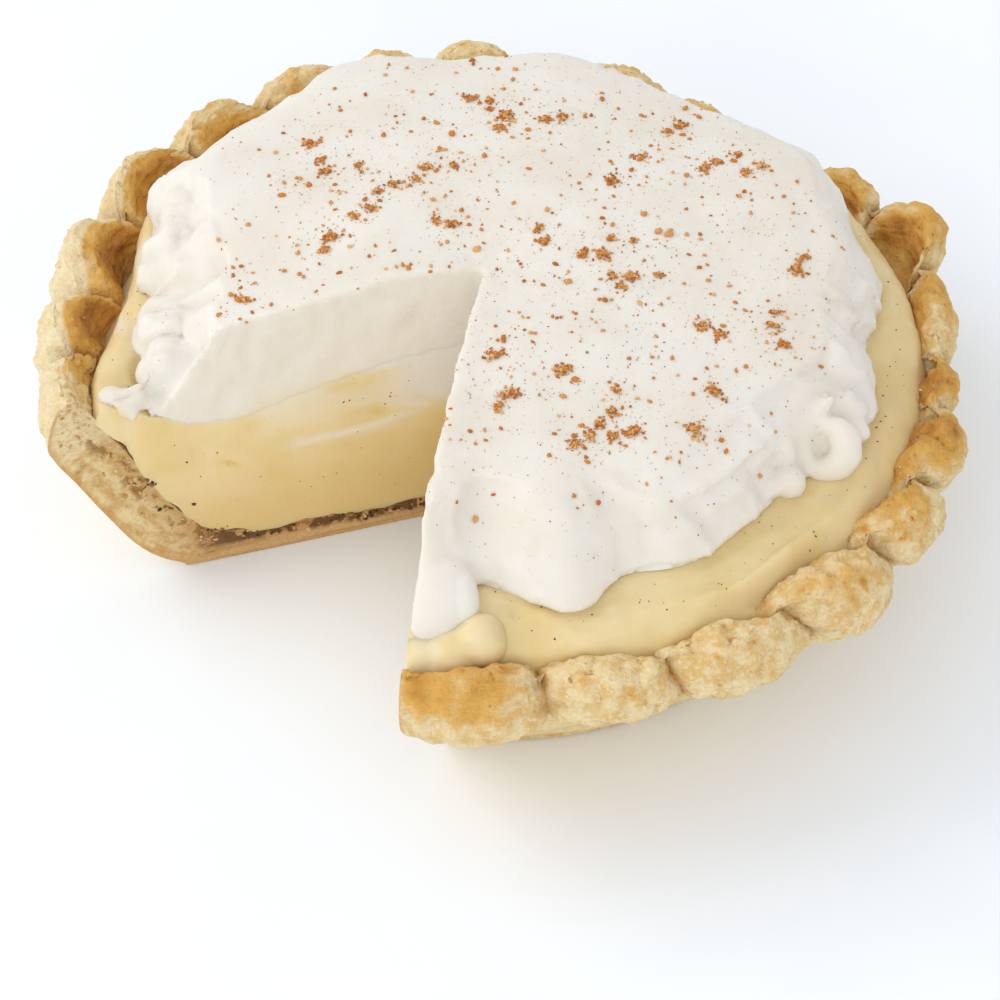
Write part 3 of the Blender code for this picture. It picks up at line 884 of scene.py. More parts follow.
# What stands out from the even sweep of the cream: radius, direction, height, size outward,
# sideways and upward, yaw and pitch. The tongue beside the right cut, the droplet and its neck,
# the ledge that ends in a flap, the foot at the front, the torn masses on the left, and the
# ragged ledge with its two drips at the left cut.
CREAM_BLOBS = (
    (99.0, 261.0, 65.0, (13.0, 8.0, 5.2), -6, 24),
    (98.4, 264.6, 64.6, (8.2, 4.4, 4.6), 4, 24),
    (92.6, 319.9, 63.0, (4.8, 4.3, 5.6), 0, 20),
    (87.6, 322.4, 69.6, (5.6, 3.0, 4.0), -8, 40),
    (89.5, 349.0, 75.5, (4.6, 9.0, 3.6), 0, 16),
    (92.0, 342.0, 72.6, (5.4, 8.0, 4.0), 6, 20),
    (96.0, 336.0, 70.0, (6.0, 6.0, 3.4), 10, 24),
    (99.6, 332.6, 68.0, (4.8, 3.2, 2.2), -20, 26),
    (96.0, 279.0, 65.4, (5.4, 8.0, 3.6), 0, 14),
    (91.5, 152.5, 69.5, (8.5, 10.0, 9.5), 6, -12),
    (89.5, 160.5, 68.0, (8.0, 8.0, 10.0), 0, -12),
    (96.0, 147.5, 68.0, (6.0, 6.0, 8.5), 20, -14),
    (86.5, 180.5, 64.0, (8.0, 6.5, 9.5), 8, -14),
    (87.5, 186.5, 62.5, (8.0, 5.5, 8.5), 14, -16),
    (104.5, 190.6, 58.4, (3.4, 3.0, 1.9), 20, 4),
    (101.0, 190.8, 58.0, (3.6, 2.8, 2.8), -10, 6),
    (97.5, 190.6, 58.0, (4.0, 2.8, 4.4), 0, 0),
    (103.6, 192.5, 56.0, (1.5, 1.2, 2.2), 0, 10),
    (100.2, 192.6, 55.4, (1.8, 1.2, 2.8), 0, -8),
)
# Blobs this near the right cut are sliced off flush with it
BESIDE_CUT_DEG = 30.0


def cream_extras():
    """The curl and the blobs, those beside the right cut sliced off flush with it."""
    extras = [cream_curl()]
    for blob in CREAM_BLOBS:
        beside_right_cut = 0.0 < blob[1] - CUT_RIGHT_DEG < BESIDE_CUT_DEG
        extras.append(trimmed_at_cut(ball(*blob)) if beside_right_cut else ball(*blob))
    return extras


def pressed_together(parts, voxel_mm, smoothings):
    """Several overlapping lumps as one skin, its creases eased by the given number of passes."""
    gathered = bmesh.new()
    for part in parts:
        take_in(gathered, part)
    lump = as_object(gathered, "before_pressing")
    remesh = lump.modifiers.new("press", "REMESH")
    remesh.mode = "VOXEL"
    remesh.voxel_size = voxel_mm * MM
    graph = bpy.context.evaluated_depsgraph_get()
    pressed = bpy.data.meshes.new_from_object(lump.evaluated_get(graph))
    bm = bmesh.new()
    bm.from_mesh(pressed)
    bpy.data.objects.remove(lump)
    bpy.data.meshes.remove(pressed)
    for _ in range(smoothings):
        bmesh.ops.smooth_vert(
            bm,
            verts=bm.verts,
            factor=0.5,
            use_axis_x=True,
            use_axis_y=True,
            use_axis_z=True,
        )
    bm.normal_update()
    return bm


# Where the curl and the droplet lie smooth: direction and spread in degrees, and how much
CREAM_SMOOTH = (
    (320, 6, 0.9),
    (329, 6, 0.8),
    (261, 6, 0.7),
)
# Where the sides were torn rather than spread: direction and spread in degrees, and how much
CREAM_TORN = (
    (168, 26, 1.0),
    (322, 20, 0.35),
    (345, 14, 0.3),
)


def make_cream():
    """All the cream pressed into one skin, then combed with the marks of the spreading knife."""
    spread = spun(CREAM_SPANS, CREAM_LAYERS, *CREAM_STEPS, cream_form)
    bm = pressed_together([spread] + cream_extras(), CREAM_VOXEL_MM, CREAM_SMOOTHINGS)
    for name in ("cut", "top", "custardy"):
        bm.verts.layers.float.new(name)
    on_face = bm.verts.layers.float["cut"]
    top = bm.verts.layers.float["top"]

    left = math.radians(CUT_LEFT_DEG)
    right = math.radians(CUT_RIGHT_DEG)
    away_left = Vector((-math.sin(left), math.cos(left), 0.0))
    away_right = Vector((math.sin(right), -math.cos(right), 0.0))
    for vert in bm.verts:
        flat = max(vert.normal.dot(away_left), vert.normal.dot(away_right))
        x, y = from_apex(vert.co)
        near_left = abs(-x * math.sin(left) + y * math.cos(left))
        near_right = abs(x * math.sin(right) - y * math.cos(right))
        near = min(near_left, near_right)
        vert[on_face] = smooth_step(0.55, 0.9, flat) * (1.0 - smooth_step(0.6, 1.6, near))
        vert[top] = smooth_step(0.55, 0.9, vert.normal.z)

    def relief(vert):
        degrees, radius = polar(vert.co)
        if vert.normal.z < -0.5:
            return 0.0
        up = vert.co.z / MM
        face = vert[on_face]
        flat_top = vert[top] * smooth_step(60.0, 78.0, up)
        sweep = Vector((radius * MM, math.radians(degrees) * 16.0 * MM, 0.0))
        strokes = 0.26 * grain(sweep, 9.0, 3, 14.0) + 0.16 * grain(vert.co, 16.0, 2, 18.0)
        bend = 7.0 * grain(vert.co, 20.0, 2, 22.0)
        round_the_side = math.radians(degrees) * 90.0 + 0.35 * up + bend
        torn = Vector((round_the_side, 0.42 * up + 0.4 * bend, radius * 0.5)) * MM
        ridges = 1.0 - 3.2 * abs(grain(torn, 17.0, 2, 25.0))
        small_ridges = 1.0 - 3.0 * abs(grain(torn, 8.0, 2, 26.0))
        wild = 0.35 + swells(CREAM_TORN, degrees)
        ragged = wild * (2.1 * ridges + 0.35 * small_ridges + 0.3 * grain(vert.co, 5.0, 2, 28.0)) - 0.8 * wild
        ragged *= 1.0 - min(1.0, swells(CREAM_SMOOTH, degrees)) * smooth_step(86.0, 92.0, radius)
        side = (1.0 - smooth_step(0.8, 0.97, vert.normal.z)) * (1.0 - face)
        side *= smooth_step(40.0, 70.0, radius)
        knife = 0.12 * grain(Vector((vert.co.x, vert.co.y, vert.co.z * 0.2)), 4.0, 2, 30.0)
        tiny = 0.06 * grain(vert.co, 2.4, 2, 40.0)
        return flat_top * strokes + side * ragged + face * knife + tiny

    roughen(bm, relief)
    yellow = bm.verts.layers.float["custardy"]
    for vert in bm.verts:
        _, radius = polar(vert.co)
        vert[yellow] = vert[on_face] * (1.0 - creaminess(radius, vert.co.z / MM))
    return bm


# Bits laid on the surfaces

def surface_of(bm):
    """The skin of a mesh, for finding where bits come to rest on it."""
    return BVHTree.FromBMesh(bm)


ABOVE_THE_PIE_MM = 110.0
CREAM_LEVEL = 80.0


def drop_on(tree, x_mm, y_mm):
    """Where something let fall at x, y lands, and which way the surface faces there."""
    start = Vector((x_mm * MM, y_mm * MM, ABOVE_THE_PIE_MM * MM))
    place, normal, _, _ = tree.ray_cast(start, Vector((0, 0, -1)))
    return place, normal


# Direction of each cut, and the side of it that the slice was on; bits are thrown back at the
# cut faces from a point in the gap, in metres off the face
CUTS = ((CUT_LEFT_DEG, 1.0), (CUT_RIGHT_DEG, -1.0))
FROM_THE_GAP = 0.02


def out_of_cut(angle, side):
    """The way a cut face looks, out into the gap that the slice left."""
    return Vector((-math.sin(angle), math.cos(angle), 0.0)) * side


def thrown_at_cut(tree, spot, outward):
    """Where something thrown back at a cut face, level with spot, lands: the ray's hit."""
    return tree.ray_cast(spot + outward * FROM_THE_GAP, -outward, 1.5 * FROM_THE_GAP)


class Bits:
    """Angular crumbs of one kind, gathered into one mesh."""

    SHAPES = 14

    def __init__(self, seed):
        self.draw = random.Random(seed)
        self.bm = bmesh.new()
        self.shapes = []
        for _ in range(self.SHAPES):
            crumb = bmesh.new()
            for vert in bmesh.ops.create_icosphere(crumb, subdivisions=1, radius=0.5)["verts"]:
                vert.co *= self.draw.uniform(0.72, 1.25)
            mesh = bpy.data.meshes.new("crumb_shape")
            crumb.to_mesh(mesh)
            crumb.free()
            mesh.attributes.new("tone", "FLOAT", "POINT")
            self.shapes.append(mesh)

    def add(self, place, normal, size_mm, tone, sink=0.3, flat=0.7):
        """A crumb of about size_mm, sunk a little way into what it lies on."""
        stretch = Matrix.Diagonal((self.draw.uniform(0.8, 1.3), self.draw.uniform(0.6, 1.0), flat, 1.0))
        spin = Matrix.Rotation(self.draw.uniform(0.0, math.tau), 4, "Z")
        turn = normal.to_track_quat("Z", "Y").to_matrix().to_4x4()
        lift = place + normal * (size_mm * MM * (0.5 * flat - sink))
        crumb = self.draw.choice(self.shapes).copy()
        crumb.transform(Matrix.Translation(lift) @ turn @ spin @ stretch @ Matrix.Scale(size_mm * MM, 4))
        crumb.attributes["tone"].data.foreach_set("value", [tone] * len(crumb.vertices))
        self.bm.from_mesh(crumb)
        bpy.data.meshes.remove(crumb)

    def done(self):
        for mesh in self.shapes:
            bpy.data.meshes.remove(mesh)
        return self.bm


def clump_places():
    """The same places as the clumps fused to the solid."""
    draw = random.Random(CLUMP_SEED)
    places = []
    for patch_radius, patch_degrees, count in NUTMEG_PATCHES:
        for number in range(count):
            away = PATCH_SPREAD * number ** 0.5
            heading = draw.uniform(0.0, math.tau)
            angle = math.radians(patch_degrees)
            x = patch_radius * math.cos(angle) + away * math.cos(heading)
            y = patch_radius * math.sin(angle) + away * math.sin(heading)
            across = between(*CLUMP_ACROSS, draw.uniform(0.5, 1.0) / (1.0 + 0.6 * number))
            degrees = math.degrees(math.atan2(y, x)) % 360.0
            clear_of_cut = (degrees - CUT_RIGHT_DEG - 3.0) % 360.0 < SWEEP_DEG - 6.0
            if clear_of_cut and math.hypot(x, y) < cream_foot(degrees) - cream_fall(degrees) - 3.0:
                places.append((math.hypot(x, y), degrees, across, draw.uniform(0.0, math.tau)))
    return places


def make_nutmeg_clumps(cream_tree):
    """Damp little heaps of grated nutmeg, each of a few dozen grains."""
    bits = Bits(31)
    draw = bits.draw
    for radius, degrees, across, spin in clump_places():
        middle = warped(radius, math.radians(degrees), CREAM_LEVEL)
        for _ in range(int(8 + 4.5 * across ** 1.7)):
            out = abs(draw.gauss(0.0, 0.42)) * across
            heading = draw.uniform(0.0, math.tau)
            dx = out * math.cos(heading)
            dy = out * math.sin(heading) * 0.75
            x = middle.x / MM + dx * math.cos(spin) - dy * math.sin(spin)
            y = middle.y / MM + dx * math.sin(spin) + dy * math.cos(spin)
            place, normal = drop_on(cream_tree, x, y)
            if place is None or normal.z < 0.5:
                continue
            pile = 0.45 * max(0.0, 1.0 - out / (0.6 * across)) * across * 0.3
            lift = Vector((0.0, 0.0, pile * MM))
            bits.add(place + lift, normal, draw.uniform(0.5, 1.25), draw.random(), 0.15)
        for _ in range(int(6 + 3 * across)):
            out = abs(draw.gauss(0.0, 1.6)) * across + 0.4 * across
            heading = draw.uniform(0.0, math.tau)
            x = middle.x / MM + out * math.cos(heading)
            y = middle.y / MM + out * math.sin(heading)
            place, normal = drop_on(cream_tree, x, y)
            if place is not None and normal.z > 0.5:
                bits.add(place, normal, draw.uniform(0.2, 0.55), draw.uniform(0.2, 1.0), 0.25)
    return bits.done()


def scatter(bits, tree, count, reach, sizes, choose, tones, sink=0.25):
    """Lets count bits fall within reach mm of the axis, as thickly as choose says, most of them
    near the smaller of the two sizes."""
    draw = bits.draw
    placed = 0
    tries = 0
    while placed < count and tries < count * 30:
        tries += 1
        radius = reach * math.sqrt(draw.random())
        degrees = CUT_RIGHT_DEG + SWEEP_DEG * draw.random()
        if draw.random() > choose(radius, degrees):
            continue
        spot = warped(radius, math.radians(degrees), CREAM_LEVEL)
        place, normal = drop_on(tree, spot.x / MM, spot.y / MM)
        if place is None or normal.z < 0.3:
            continue
        bits.add(place, normal, between(*sizes, draw.random() ** 2.2), draw.uniform(*tones), sink)
        placed += 1


def dusting(radius, degrees):
    """How thickly the nutmeg fell: in drifts, thinner towards the front and the edge."""
    angle = math.radians(degrees)
    at = Vector((radius * math.cos(angle), radius * math.sin(angle), 0.0)) * MM
    drifts = 0.30 + 0.9 * max(0.0, grain(at, 24.0, 3, 50.0))
    front = 1.0 - 0.75 * smooth_step(70.0, 96.0, radius)
    front -= 0.35 * bump(degrees, 275, 30) * smooth_step(60, 85, radius)
    return max(0.03, drifts * front)


def off_the_torn_side(radius, degrees):
    """The same, but nearly none where the cream was torn after the nutmeg was grated over it."""
    torn = bump(degrees, 168, 26) * smooth_step(68.0, 78.0, radius)
    return dusting(radius, degrees) * (1.0 - 0.97 * min(1.0, 1.6 * torn))


def make_nutmeg_flakes(cream_tree):
    """The single flakes, fine ones first and then the larger."""
    bits = Bits(47)
    scatter(bits, cream_tree, 950, 92.0, (0.35, 1.45), off_the_torn_side, (0.1, 1.0))
    scatter(bits, cream_tree, 150, 90.0, (1.1, 2.4), off_the_torn_side, (0.1, 0.9))
    return bits.done()


def make_nutmeg_dust(cream_tree):
    """The finest grains, which fell nearly everywhere."""
    bits = Bits(53)

    def everywhere(radius, degrees):
        back = 0.35 * bump(degrees, 80, 60)
        return min(1.0, 0.2 + back + dusting(radius, degrees)) * (1.0 - 0.8 * bump(degrees, 168, 26))

    scatter(bits, cream_tree, 2600, 97.0, (0.14, 0.36), everywhere, (0.0, 0.6), 0.2)
    return bits.done()


def make_dark_specks(cream_tree):
    """The black and dark brown specks, most of them over the front half."""
    bits = Bits(61)

    def front(radius, degrees):
        return 0.12 + 0.88 * bump(degrees, 295, 48)

    scatter(bits, cream_tree, 260, 96.0, (0.2, 0.5), front, (0.0, 0.3), 0.2)
    return bits.done()


def make_custard_specks(custard_tree):
    """Dark specks on the custard's band and flush with its cut faces."""
    bits = Bits(71)
    draw = bits.draw

    def band(radius, degrees):
        return 1.0 if radius > cream_foot(degrees) else 0.0

    scatter(bits, custard_tree, 170, 108.0, (0.22, 0.7), band, (0.0, 1.0), 0.3)
    for cut, side in CUTS:
        angle = math.radians(cut)
        outward = out_of_cut(angle, side)
        for _ in range(46):
            spot = warped(draw.uniform(6.0, 92.0), angle, draw.uniform(11.0, 58.0))
            place, normal, _, _ = thrown_at_cut(custard_tree, spot, outward)
            if place is not None:
                bits.add(place, normal, between(0.22, 0.75, draw.random() ** 2), draw.random(), 0.4)
    return bits.done()


# Dark baked bits on the left cut face, by distance from its inner edge and height
SCORCHED_BITS = (
    (46.6, 6.2), (42.4, 6.5), (38.4, 4.4), (32.7, 4.7), (27.1, 5.0), (21.5, 4.1), (18.5, 5.6),
    (80.9, 10.6), (93.4, 21.6), (72.0, 6.8), (100.0, 32.0), (62.0, 6.2),
)


def make_scorched_bits(crust_tree, custard_tree):
    """Dark, hard-baked bits where the custard met the pastry, seen on the cut faces."""
    bits = Bits(97)
    draw = bits.draw
    for cut, side in CUTS:
        angle = math.radians(cut)
        outward = out_of_cut(angle, side)
        for out, up in SCORCHED_BITS:
            for _ in range(10):
                spot = warped(out + draw.gauss(0.0, 2.4), angle, max(1.5, up + draw.gauss(0.0, 0.8)))
                landings = [thrown_at_cut(tree, spot, outward) for tree in (crust_tree, custard_tree)]
                landings = [hit for hit in landings if hit[0] is not None]
                if landings:
                    place, normal, _, _ = min(landings, key=lambda hit: hit[3])
                    size = between(0.6, 2.0, draw.random() ** 1.8)
                    bits.add(place, normal, size, draw.random(), 0.5, 0.8)
    return bits.done()


def make_pastry_crumbs(crust_tree):
    """Loose crumbs of baked pastry, on the cut ends of the crust and along its inner lip."""
    bits = Bits(83)
    draw = bits.draw
    for (cut, side), count in zip(CUTS, (190, 110)):
        angle = math.radians(cut)
        outward = out_of_cut(angle, side)
        for _ in range(count):
            share = draw.random()
            inside = along(SHELL_INSIDE, share)
            outside = along(SHELL_OUTSIDE, share)
            mix = draw.random()
            spot = warped(between(inside[0], outside[0], mix), angle, between(inside[1], outside[1], mix))
            place, normal, _, _ = thrown_at_cut(crust_tree, spot, outward)
            if place is not None:
                size = between(0.4, 1.7, draw.random() ** 2.5)
                bits.add(place, normal, size, draw.uniform(0.0, 0.6), 0.35, 0.8)
    for _ in range(130):
        degrees = CUT_RIGHT_DEG + SWEEP_DEG * draw.random()
        spot = warped(draw.uniform(110.0, 124.0), math.radians(degrees), 60.0)
        place, normal = drop_on(crust_tree, spot.x / MM, spot.y / MM)
        if place is not None and normal.z > 0.2:
            bits.add(place, normal, between(0.5, 1.5, draw.random() ** 2), draw.random(), 0.3, 0.8)
    return bits.done()


# Materials

def linear(hex_colour):
    """sRGB hex to linear red, green, blue and full alpha."""
    channels = [int(hex_colour[i:i + 2], 16) / 255.0 for i in (1, 3, 5)]
    return (*[c / 12.92 if c <= 0.04045 else ((c + 0.055) / 1.055) ** 2.4 for c in channels], 1.0)


def add_node(tree, kind, settings=None, links=None):
    """A node of that kind with its settings and its incoming links."""
    node = tree.nodes.new(kind)
    for name, value in (settings or {}).items():
        if name in node.inputs:
            node.inputs[name].default_value = value
        else:
            setattr(node, name, value)
    for socket, source in (links or {}).items():
        tree.links.new(source, node.inputs[socket])
    return node


def blank_material(name, **sockets):
    """A material with its shader's sockets set to even values."""
    material = bpy.data.materials.new(name)
    material.use_nodes = True
    shader = material.node_tree.nodes["Principled BSDF"]
    for socket, value in sockets.items():
        shader.inputs[socket.replace("_", " ")].default_value = value
    return material, material.node_tree, shader


def attribute(tree, name):
    """What the piece's own vertices say under that name."""
    return add_node(tree, "ShaderNodeAttribute", {"attribute_name": name}).outputs["Fac"]


def blended(tree, share, low, high):
    """Mix of two colours, each a hex value or a socket, by a share socket."""
    mix = add_node(tree, "ShaderNodeMix", {"data_type": "RGBA"})
    tree.links.new(share, mix.inputs[0])
    for slot, colour in ((6, low), (7, high)):
        if isinstance(colour, str):
            mix.inputs[slot].default_value = linear(colour)
        else:
            tree.links.new(colour, mix.inputs[slot])
    return mix.outputs[2]


def stepped(tree, value, low, high):
    """0 below low, 1 above high."""
    node = add_node(
        tree,
        "ShaderNodeMapRange",
        {"interpolation_type": "SMOOTHSTEP", "From Min": low, "From Max": high},
        {"Value": value},
    )
    return node.outputs["Result"]


def product(tree, first, second):
    """The two multiplied, each a number or a socket."""
    node = add_node(tree, "ShaderNodeMath", {"operation": "MULTIPLY"})
    for slot, value in enumerate((first, second)):
        if isinstance(value, (int, float)):
            node.inputs[slot].default_value = value
        else:
            tree.links.new(value, node.inputs[slot])
    return node.outputs[0]


def cloud(tree, size_mm, detail=4.0, squash=(1.0, 1.0, 1.0), roughness=0.55):
    """Noise with features size_mm across, stretched by squash, on the piece's own coordinates."""
    where = add_node(tree, "ShaderNodeTexCoord").outputs["Object"]
    mapping = add_node(tree, "ShaderNodeMapping", {"Scale": squash}, {"Vector": where})
    settings = {"Scale": 1.0 / (size_mm * MM), "Detail": detail, "Roughness": roughness}
    return add_node(tree, "ShaderNodeTexNoise", settings, {"Vector": mapping.outputs[0]}).outputs[0]


def bumped(tree, shader, layers):
    """Stacks bumps, each a height socket and its depth in mm."""
    normal = None
    for height, depth_mm in layers:
        settings = {"Distance": depth_mm * MM, "Strength": 1.0}
        node = add_node(tree, "ShaderNodeBump", settings, {"Height": height})
        if normal:
            tree.links.new(normal, node.inputs["Normal"])
        normal = node.outputs[0]
    tree.links.new(normal, shader.inputs["Normal"])


# Colours, as they look in daylight; those named for shade or light are painted shade or painted light
CREAM_WHITE = "#E9E4DA"
# A darker cream: a tone that varies at random, and painted shade on the cut faces
CREAM_TONE_AND_PAINTED_SHADE = "#E5DDCF"
CUSTARD_PALE = "#E8D3A2"
CUSTARD_DEEP = "#DFC68A"
CUSTARD_DRAGGED = "#E3C780"
CUSTARD_LOW = "#D6B676"
CUSTARD_PIT_SHADE = "#E0C070"
CUSTARD_BRIM_OIL_AND_SHADE = "#D9BB7C"
CUSTARD_SHADED = "#D8B878"
DOUGH_PALE = "#EBD4A2"
DOUGH_TAN = "#DFBB78"
DOUGH_FLOURED = "#F3E3C0"
DOUGH_PAINTED_LIGHT = "#F3E3BE"
BAKED_GOLDEN = "#DBA850"
BAKED_BROWN = "#C68B38"
BAKED_DARK = "#9C6124"
TOASTED_SPOT = "#CC7A2E"
CREASE_PAINTED_SHADE = "#A97B3E"
LEAF_PALE = "#E6CE98"
LEAF_TAN = "#CFA665"
LEAF_FLOURED = "#EAD8B0"
LEAF_MOIST = "#BE9250"
RIM_CUT_PALE = "#EFDDB4"
BASE_CUT_BROWN = "#B98243"
FISSURE_BROWN = "#9A6C34"
SEAM_BROWN = "#8F5F22"
SKIN_EDGE_GOLDEN = "#CF9B51"
SCORCH_BROWN = "#5E3A16"


def baked_shortcrust():
    """Shortcrust pastry, rubbed in by hand and baked: pale straw dough with a dry, mealy skin that
    browns first on the crowns of the crimps; the hollows behind them and the creases between them are painted
    darker as painted shade, and the outer rims on the left paler as painted light."""
    material, tree, shader = blank_material(
        "shortcrust_pastry_baked",
        Roughness=0.72,
        IOR=1.45,
        Subsurface_Weight=0.1,
        Subsurface_Radius=(0.9, 0.45, 0.2),
        Subsurface_Scale=0.0025,
    )
    broad = cloud(tree, 14.0, 4.0)
    mottle = cloud(tree, 4.2, 5.0)
    flour = cloud(tree, 1.3, 4.0)
    flakes = cloud(tree, 2.4, 4.0, (1.0, 1.0, 2.4))
    dough = blended(tree, stepped(tree, mottle, 0.36, 0.66), DOUGH_PALE, DOUGH_TAN)
    dough = blended(tree, product(tree, stepped(tree, flour, 0.48, 0.72), 0.7), dough, DOUGH_FLOURED)
    heat_and_shade = add_node(tree, "ShaderNodeMath", {"operation": "MULTIPLY_ADD"})
    tree.links.new(mottle, heat_and_shade.inputs[0])
    heat_and_shade.inputs[1].default_value = 0.5
    tree.links.new(attribute(tree, "browning_and_shade"), heat_and_shade.inputs[2])
    heat_and_shade = heat_and_shade.outputs[0]
    colour = blended(tree, stepped(tree, heat_and_shade, 0.36, 0.76), dough, BAKED_GOLDEN)
    colour = blended(tree, stepped(tree, heat_and_shade, 0.72, 1.05), colour, BAKED_BROWN)
    colour = blended(tree, stepped(tree, heat_and_shade, 1.05, 1.4), colour, BAKED_DARK)
    toasted = product(tree, stepped(tree, broad, 0.5, 0.6), stepped(tree, cloud(tree, 3.6, 2.0), 0.6, 0.7))
    colour = blended(tree, product(tree, toasted, attribute(tree, "crown")), colour, TOASTED_SPOT)
    # Painted shade in the creases between the crimps
    colour = blended(tree, product(tree, attribute(tree, "crease"), 0.55), colour, CREASE_PAINTED_SHADE)
    # Painted light on the outer rims at the left
    colour = blended(tree, attribute(tree, "painted_light"), colour, DOUGH_PAINTED_LIGHT)
    colour = blended(tree, attribute(tree, "cut"), colour, cut_pastry_colour(tree, mottle, flour))
    tree.links.new(colour, shader.inputs["Base Color"])
    bumped(tree, shader, ((flakes, 0.9), (mottle, 0.8), (flour, 0.6)))
    return material


# The shell's length and thickness as the leaves in its cut see them, in metres
LEAVES_ALONG_SHELL = 0.22
LEAVES_THROUGH_SHELL = 0.034


def cut_pastry_colour(tree, mottle, flour):
    """The cut through the pastry: leaves of dough along the shell, moist and browner next to the
    custard, and dark where the base baked hardest."""
    along_shell = product(tree, attribute(tree, "s"), LEAVES_ALONG_SHELL)
    through = product(tree, attribute(tree, "t"), LEAVES_THROUGH_SHELL)
    where = add_node(tree, "ShaderNodeCombineXYZ", None, {0: along_shell, 1: through})
    leaves = add_node(
        tree,
        "ShaderNodeTexNoise",
        {"Scale": 1.0 / (7.0 * MM), "Detail": 4.0},
        {"Vector": where.outputs[0]},
    ).outputs[0]
    inner = attribute(tree, "inner")
    colour = blended(tree, stepped(tree, leaves, 0.38, 0.62), LEAF_PALE, LEAF_TAN)
    colour = blended(tree, product(tree, stepped(tree, flour, 0.5, 0.72), 0.6), colour, LEAF_FLOURED)
    colour = blended(tree, product(tree, stepped(tree, inner, 0.3, 1.0), 0.6), colour, LEAF_MOIST)
    raised = stepped(tree, attribute(tree, "rim"), 0.2, 0.9)
    colour = blended(tree, product(tree, raised, 0.55), colour, RIM_CUT_PALE)
    low = attribute(tree, "low")
    colour = blended(tree, product(tree, stepped(tree, low, 0.3, 0.9), 0.55), colour, BASE_CUT_BROWN)
    fissure = product(tree, stepped(tree, leaves, 0.6, 0.7), stepped(tree, mottle, 0.45, 0.6))
    colour = blended(tree, product(tree, fissure, 0.8), colour, FISSURE_BROWN)
    seam = product(tree, stepped(tree, inner, 0.45, 0.7), stepped(tree, inner, 1.0, 0.88))
    seam = product(tree, seam, stepped(tree, cloud(tree, 5.0, 5.0), 0.52, 0.6))
    colour = blended(tree, product(tree, seam, 0.8), colour, SEAM_BROWN)
    skin = stepped(tree, inner, 0.14, 0.0)
    colour = blended(tree, product(tree, skin, 0.7), colour, SKIN_EDGE_GOLDEN)
    scorch = product(tree, stepped(tree, mottle, 0.44, 0.54), stepped(tree, inner, 0.3, 0.6))
    scorch = product(tree, scorch, stepped(tree, low, 0.55, 0.9))
    return blended(tree, product(tree, scorch, 0.9), colour, SCORCH_BROWN)


def set_custard():
    """Eggnog custard, cooked, chilled and set: dense and smooth, light passes a few millimetres in,
    with a low satin shine; the knife dragged cream down over the cut."""
    material, tree, shader = blank_material(
        "egg_custard_set",
        Roughness=0.4,
        IOR=1.42,
        Subsurface_Weight=0.3,
        Subsurface_Radius=(1.0, 0.65, 0.32),
        Subsurface_Scale=0.0035,
        Specular_IOR_Level=0.4,
    )
    broad = cloud(tree, 20.0, 3.0)
    drag = cloud(tree, 6.0, 4.0, (1.0, 1.0, 0.2))
    fine = cloud(tree, 0.8, 3.0)
    colour = blended(tree, stepped(tree, broad, 0.35, 0.7), CUSTARD_PALE, CUSTARD_DEEP)
    dragged = product(tree, stepped(tree, drag, 0.45, 0.78), attribute(tree, "cut"))
    colour = blended(tree, product(tree, dragged, 0.6), colour, CUSTARD_DRAGGED)
    sunk = product(tree, stepped(tree, attribute(tree, "up_mm"), 46.0, 8.0), attribute(tree, "cut"))
    colour = blended(tree, product(tree, sunk, 0.75), colour, CUSTARD_LOW)
    # Painted shade inside the air pits
    colour = blended(tree, attribute(tree, "pit"), colour, CUSTARD_PIT_SHADE)
    # By the crust the band is deeper: partly oil, partly painted shade
    brim = product(tree, attribute(tree, "edge"), attribute(tree, "band"))
    colour = blended(tree, product(tree, brim, 0.45), colour, CUSTARD_BRIM_OIL_AND_SHADE)
    colour = blended(tree, product(tree, attribute(tree, "shaded"), 0.5), colour, CUSTARD_SHADED)
    # Cream over the cut faces and the band; by the apex partly painted light, and on the cut faces the darker
    # tone is painted shade
    colour = blended(tree, attribute(tree, "smear_and_painted_light"), colour, CREAM_TONE_AND_PAINTED_SHADE)
    tree.links.new(colour, shader.inputs["Base Color"])
    bumped(tree, shader, ((drag, 0.1), (fine, 0.03)))
    return material


def whipped_cream():
    """Whipped cream, spread with a knife: a dense white foam, matt to satin, soft at its edges
    because light wanders in it, faintly warm from the nutmeg's oil."""
    material, tree, shader = blank_material(
        "dairy_cream_whipped",
        Roughness=0.5,
        IOR=1.36,
        Subsurface_Weight=0.35,
        Subsurface_Radius=(1.0, 0.85, 0.7),
        Subsurface_Scale=0.003,
        Specular_IOR_Level=0.35,
    )
    broad = cloud(tree, 22.0, 3.0)
    fine = cloud(tree, 0.9, 3.0)
    foam = cloud(tree, 3.0, 3.0)
    colour = blended(tree, stepped(tree, broad, 0.35, 0.7), CREAM_WHITE, CREAM_TONE_AND_PAINTED_SHADE)
    # Painted shade: the cut faces of the cream take the darker tone
    colour = blended(tree, attribute(tree, "cut"), colour, CREAM_TONE_AND_PAINTED_SHADE)
    colour = blended(tree, product(tree, attribute(tree, "custardy"), 0.9), colour, CUSTARD_PALE)
    tree.links.new(colour, shader.inputs["Base Color"])
    bumped(tree, shader, ((foam, 0.14), (fine, 0.05)))
    return material


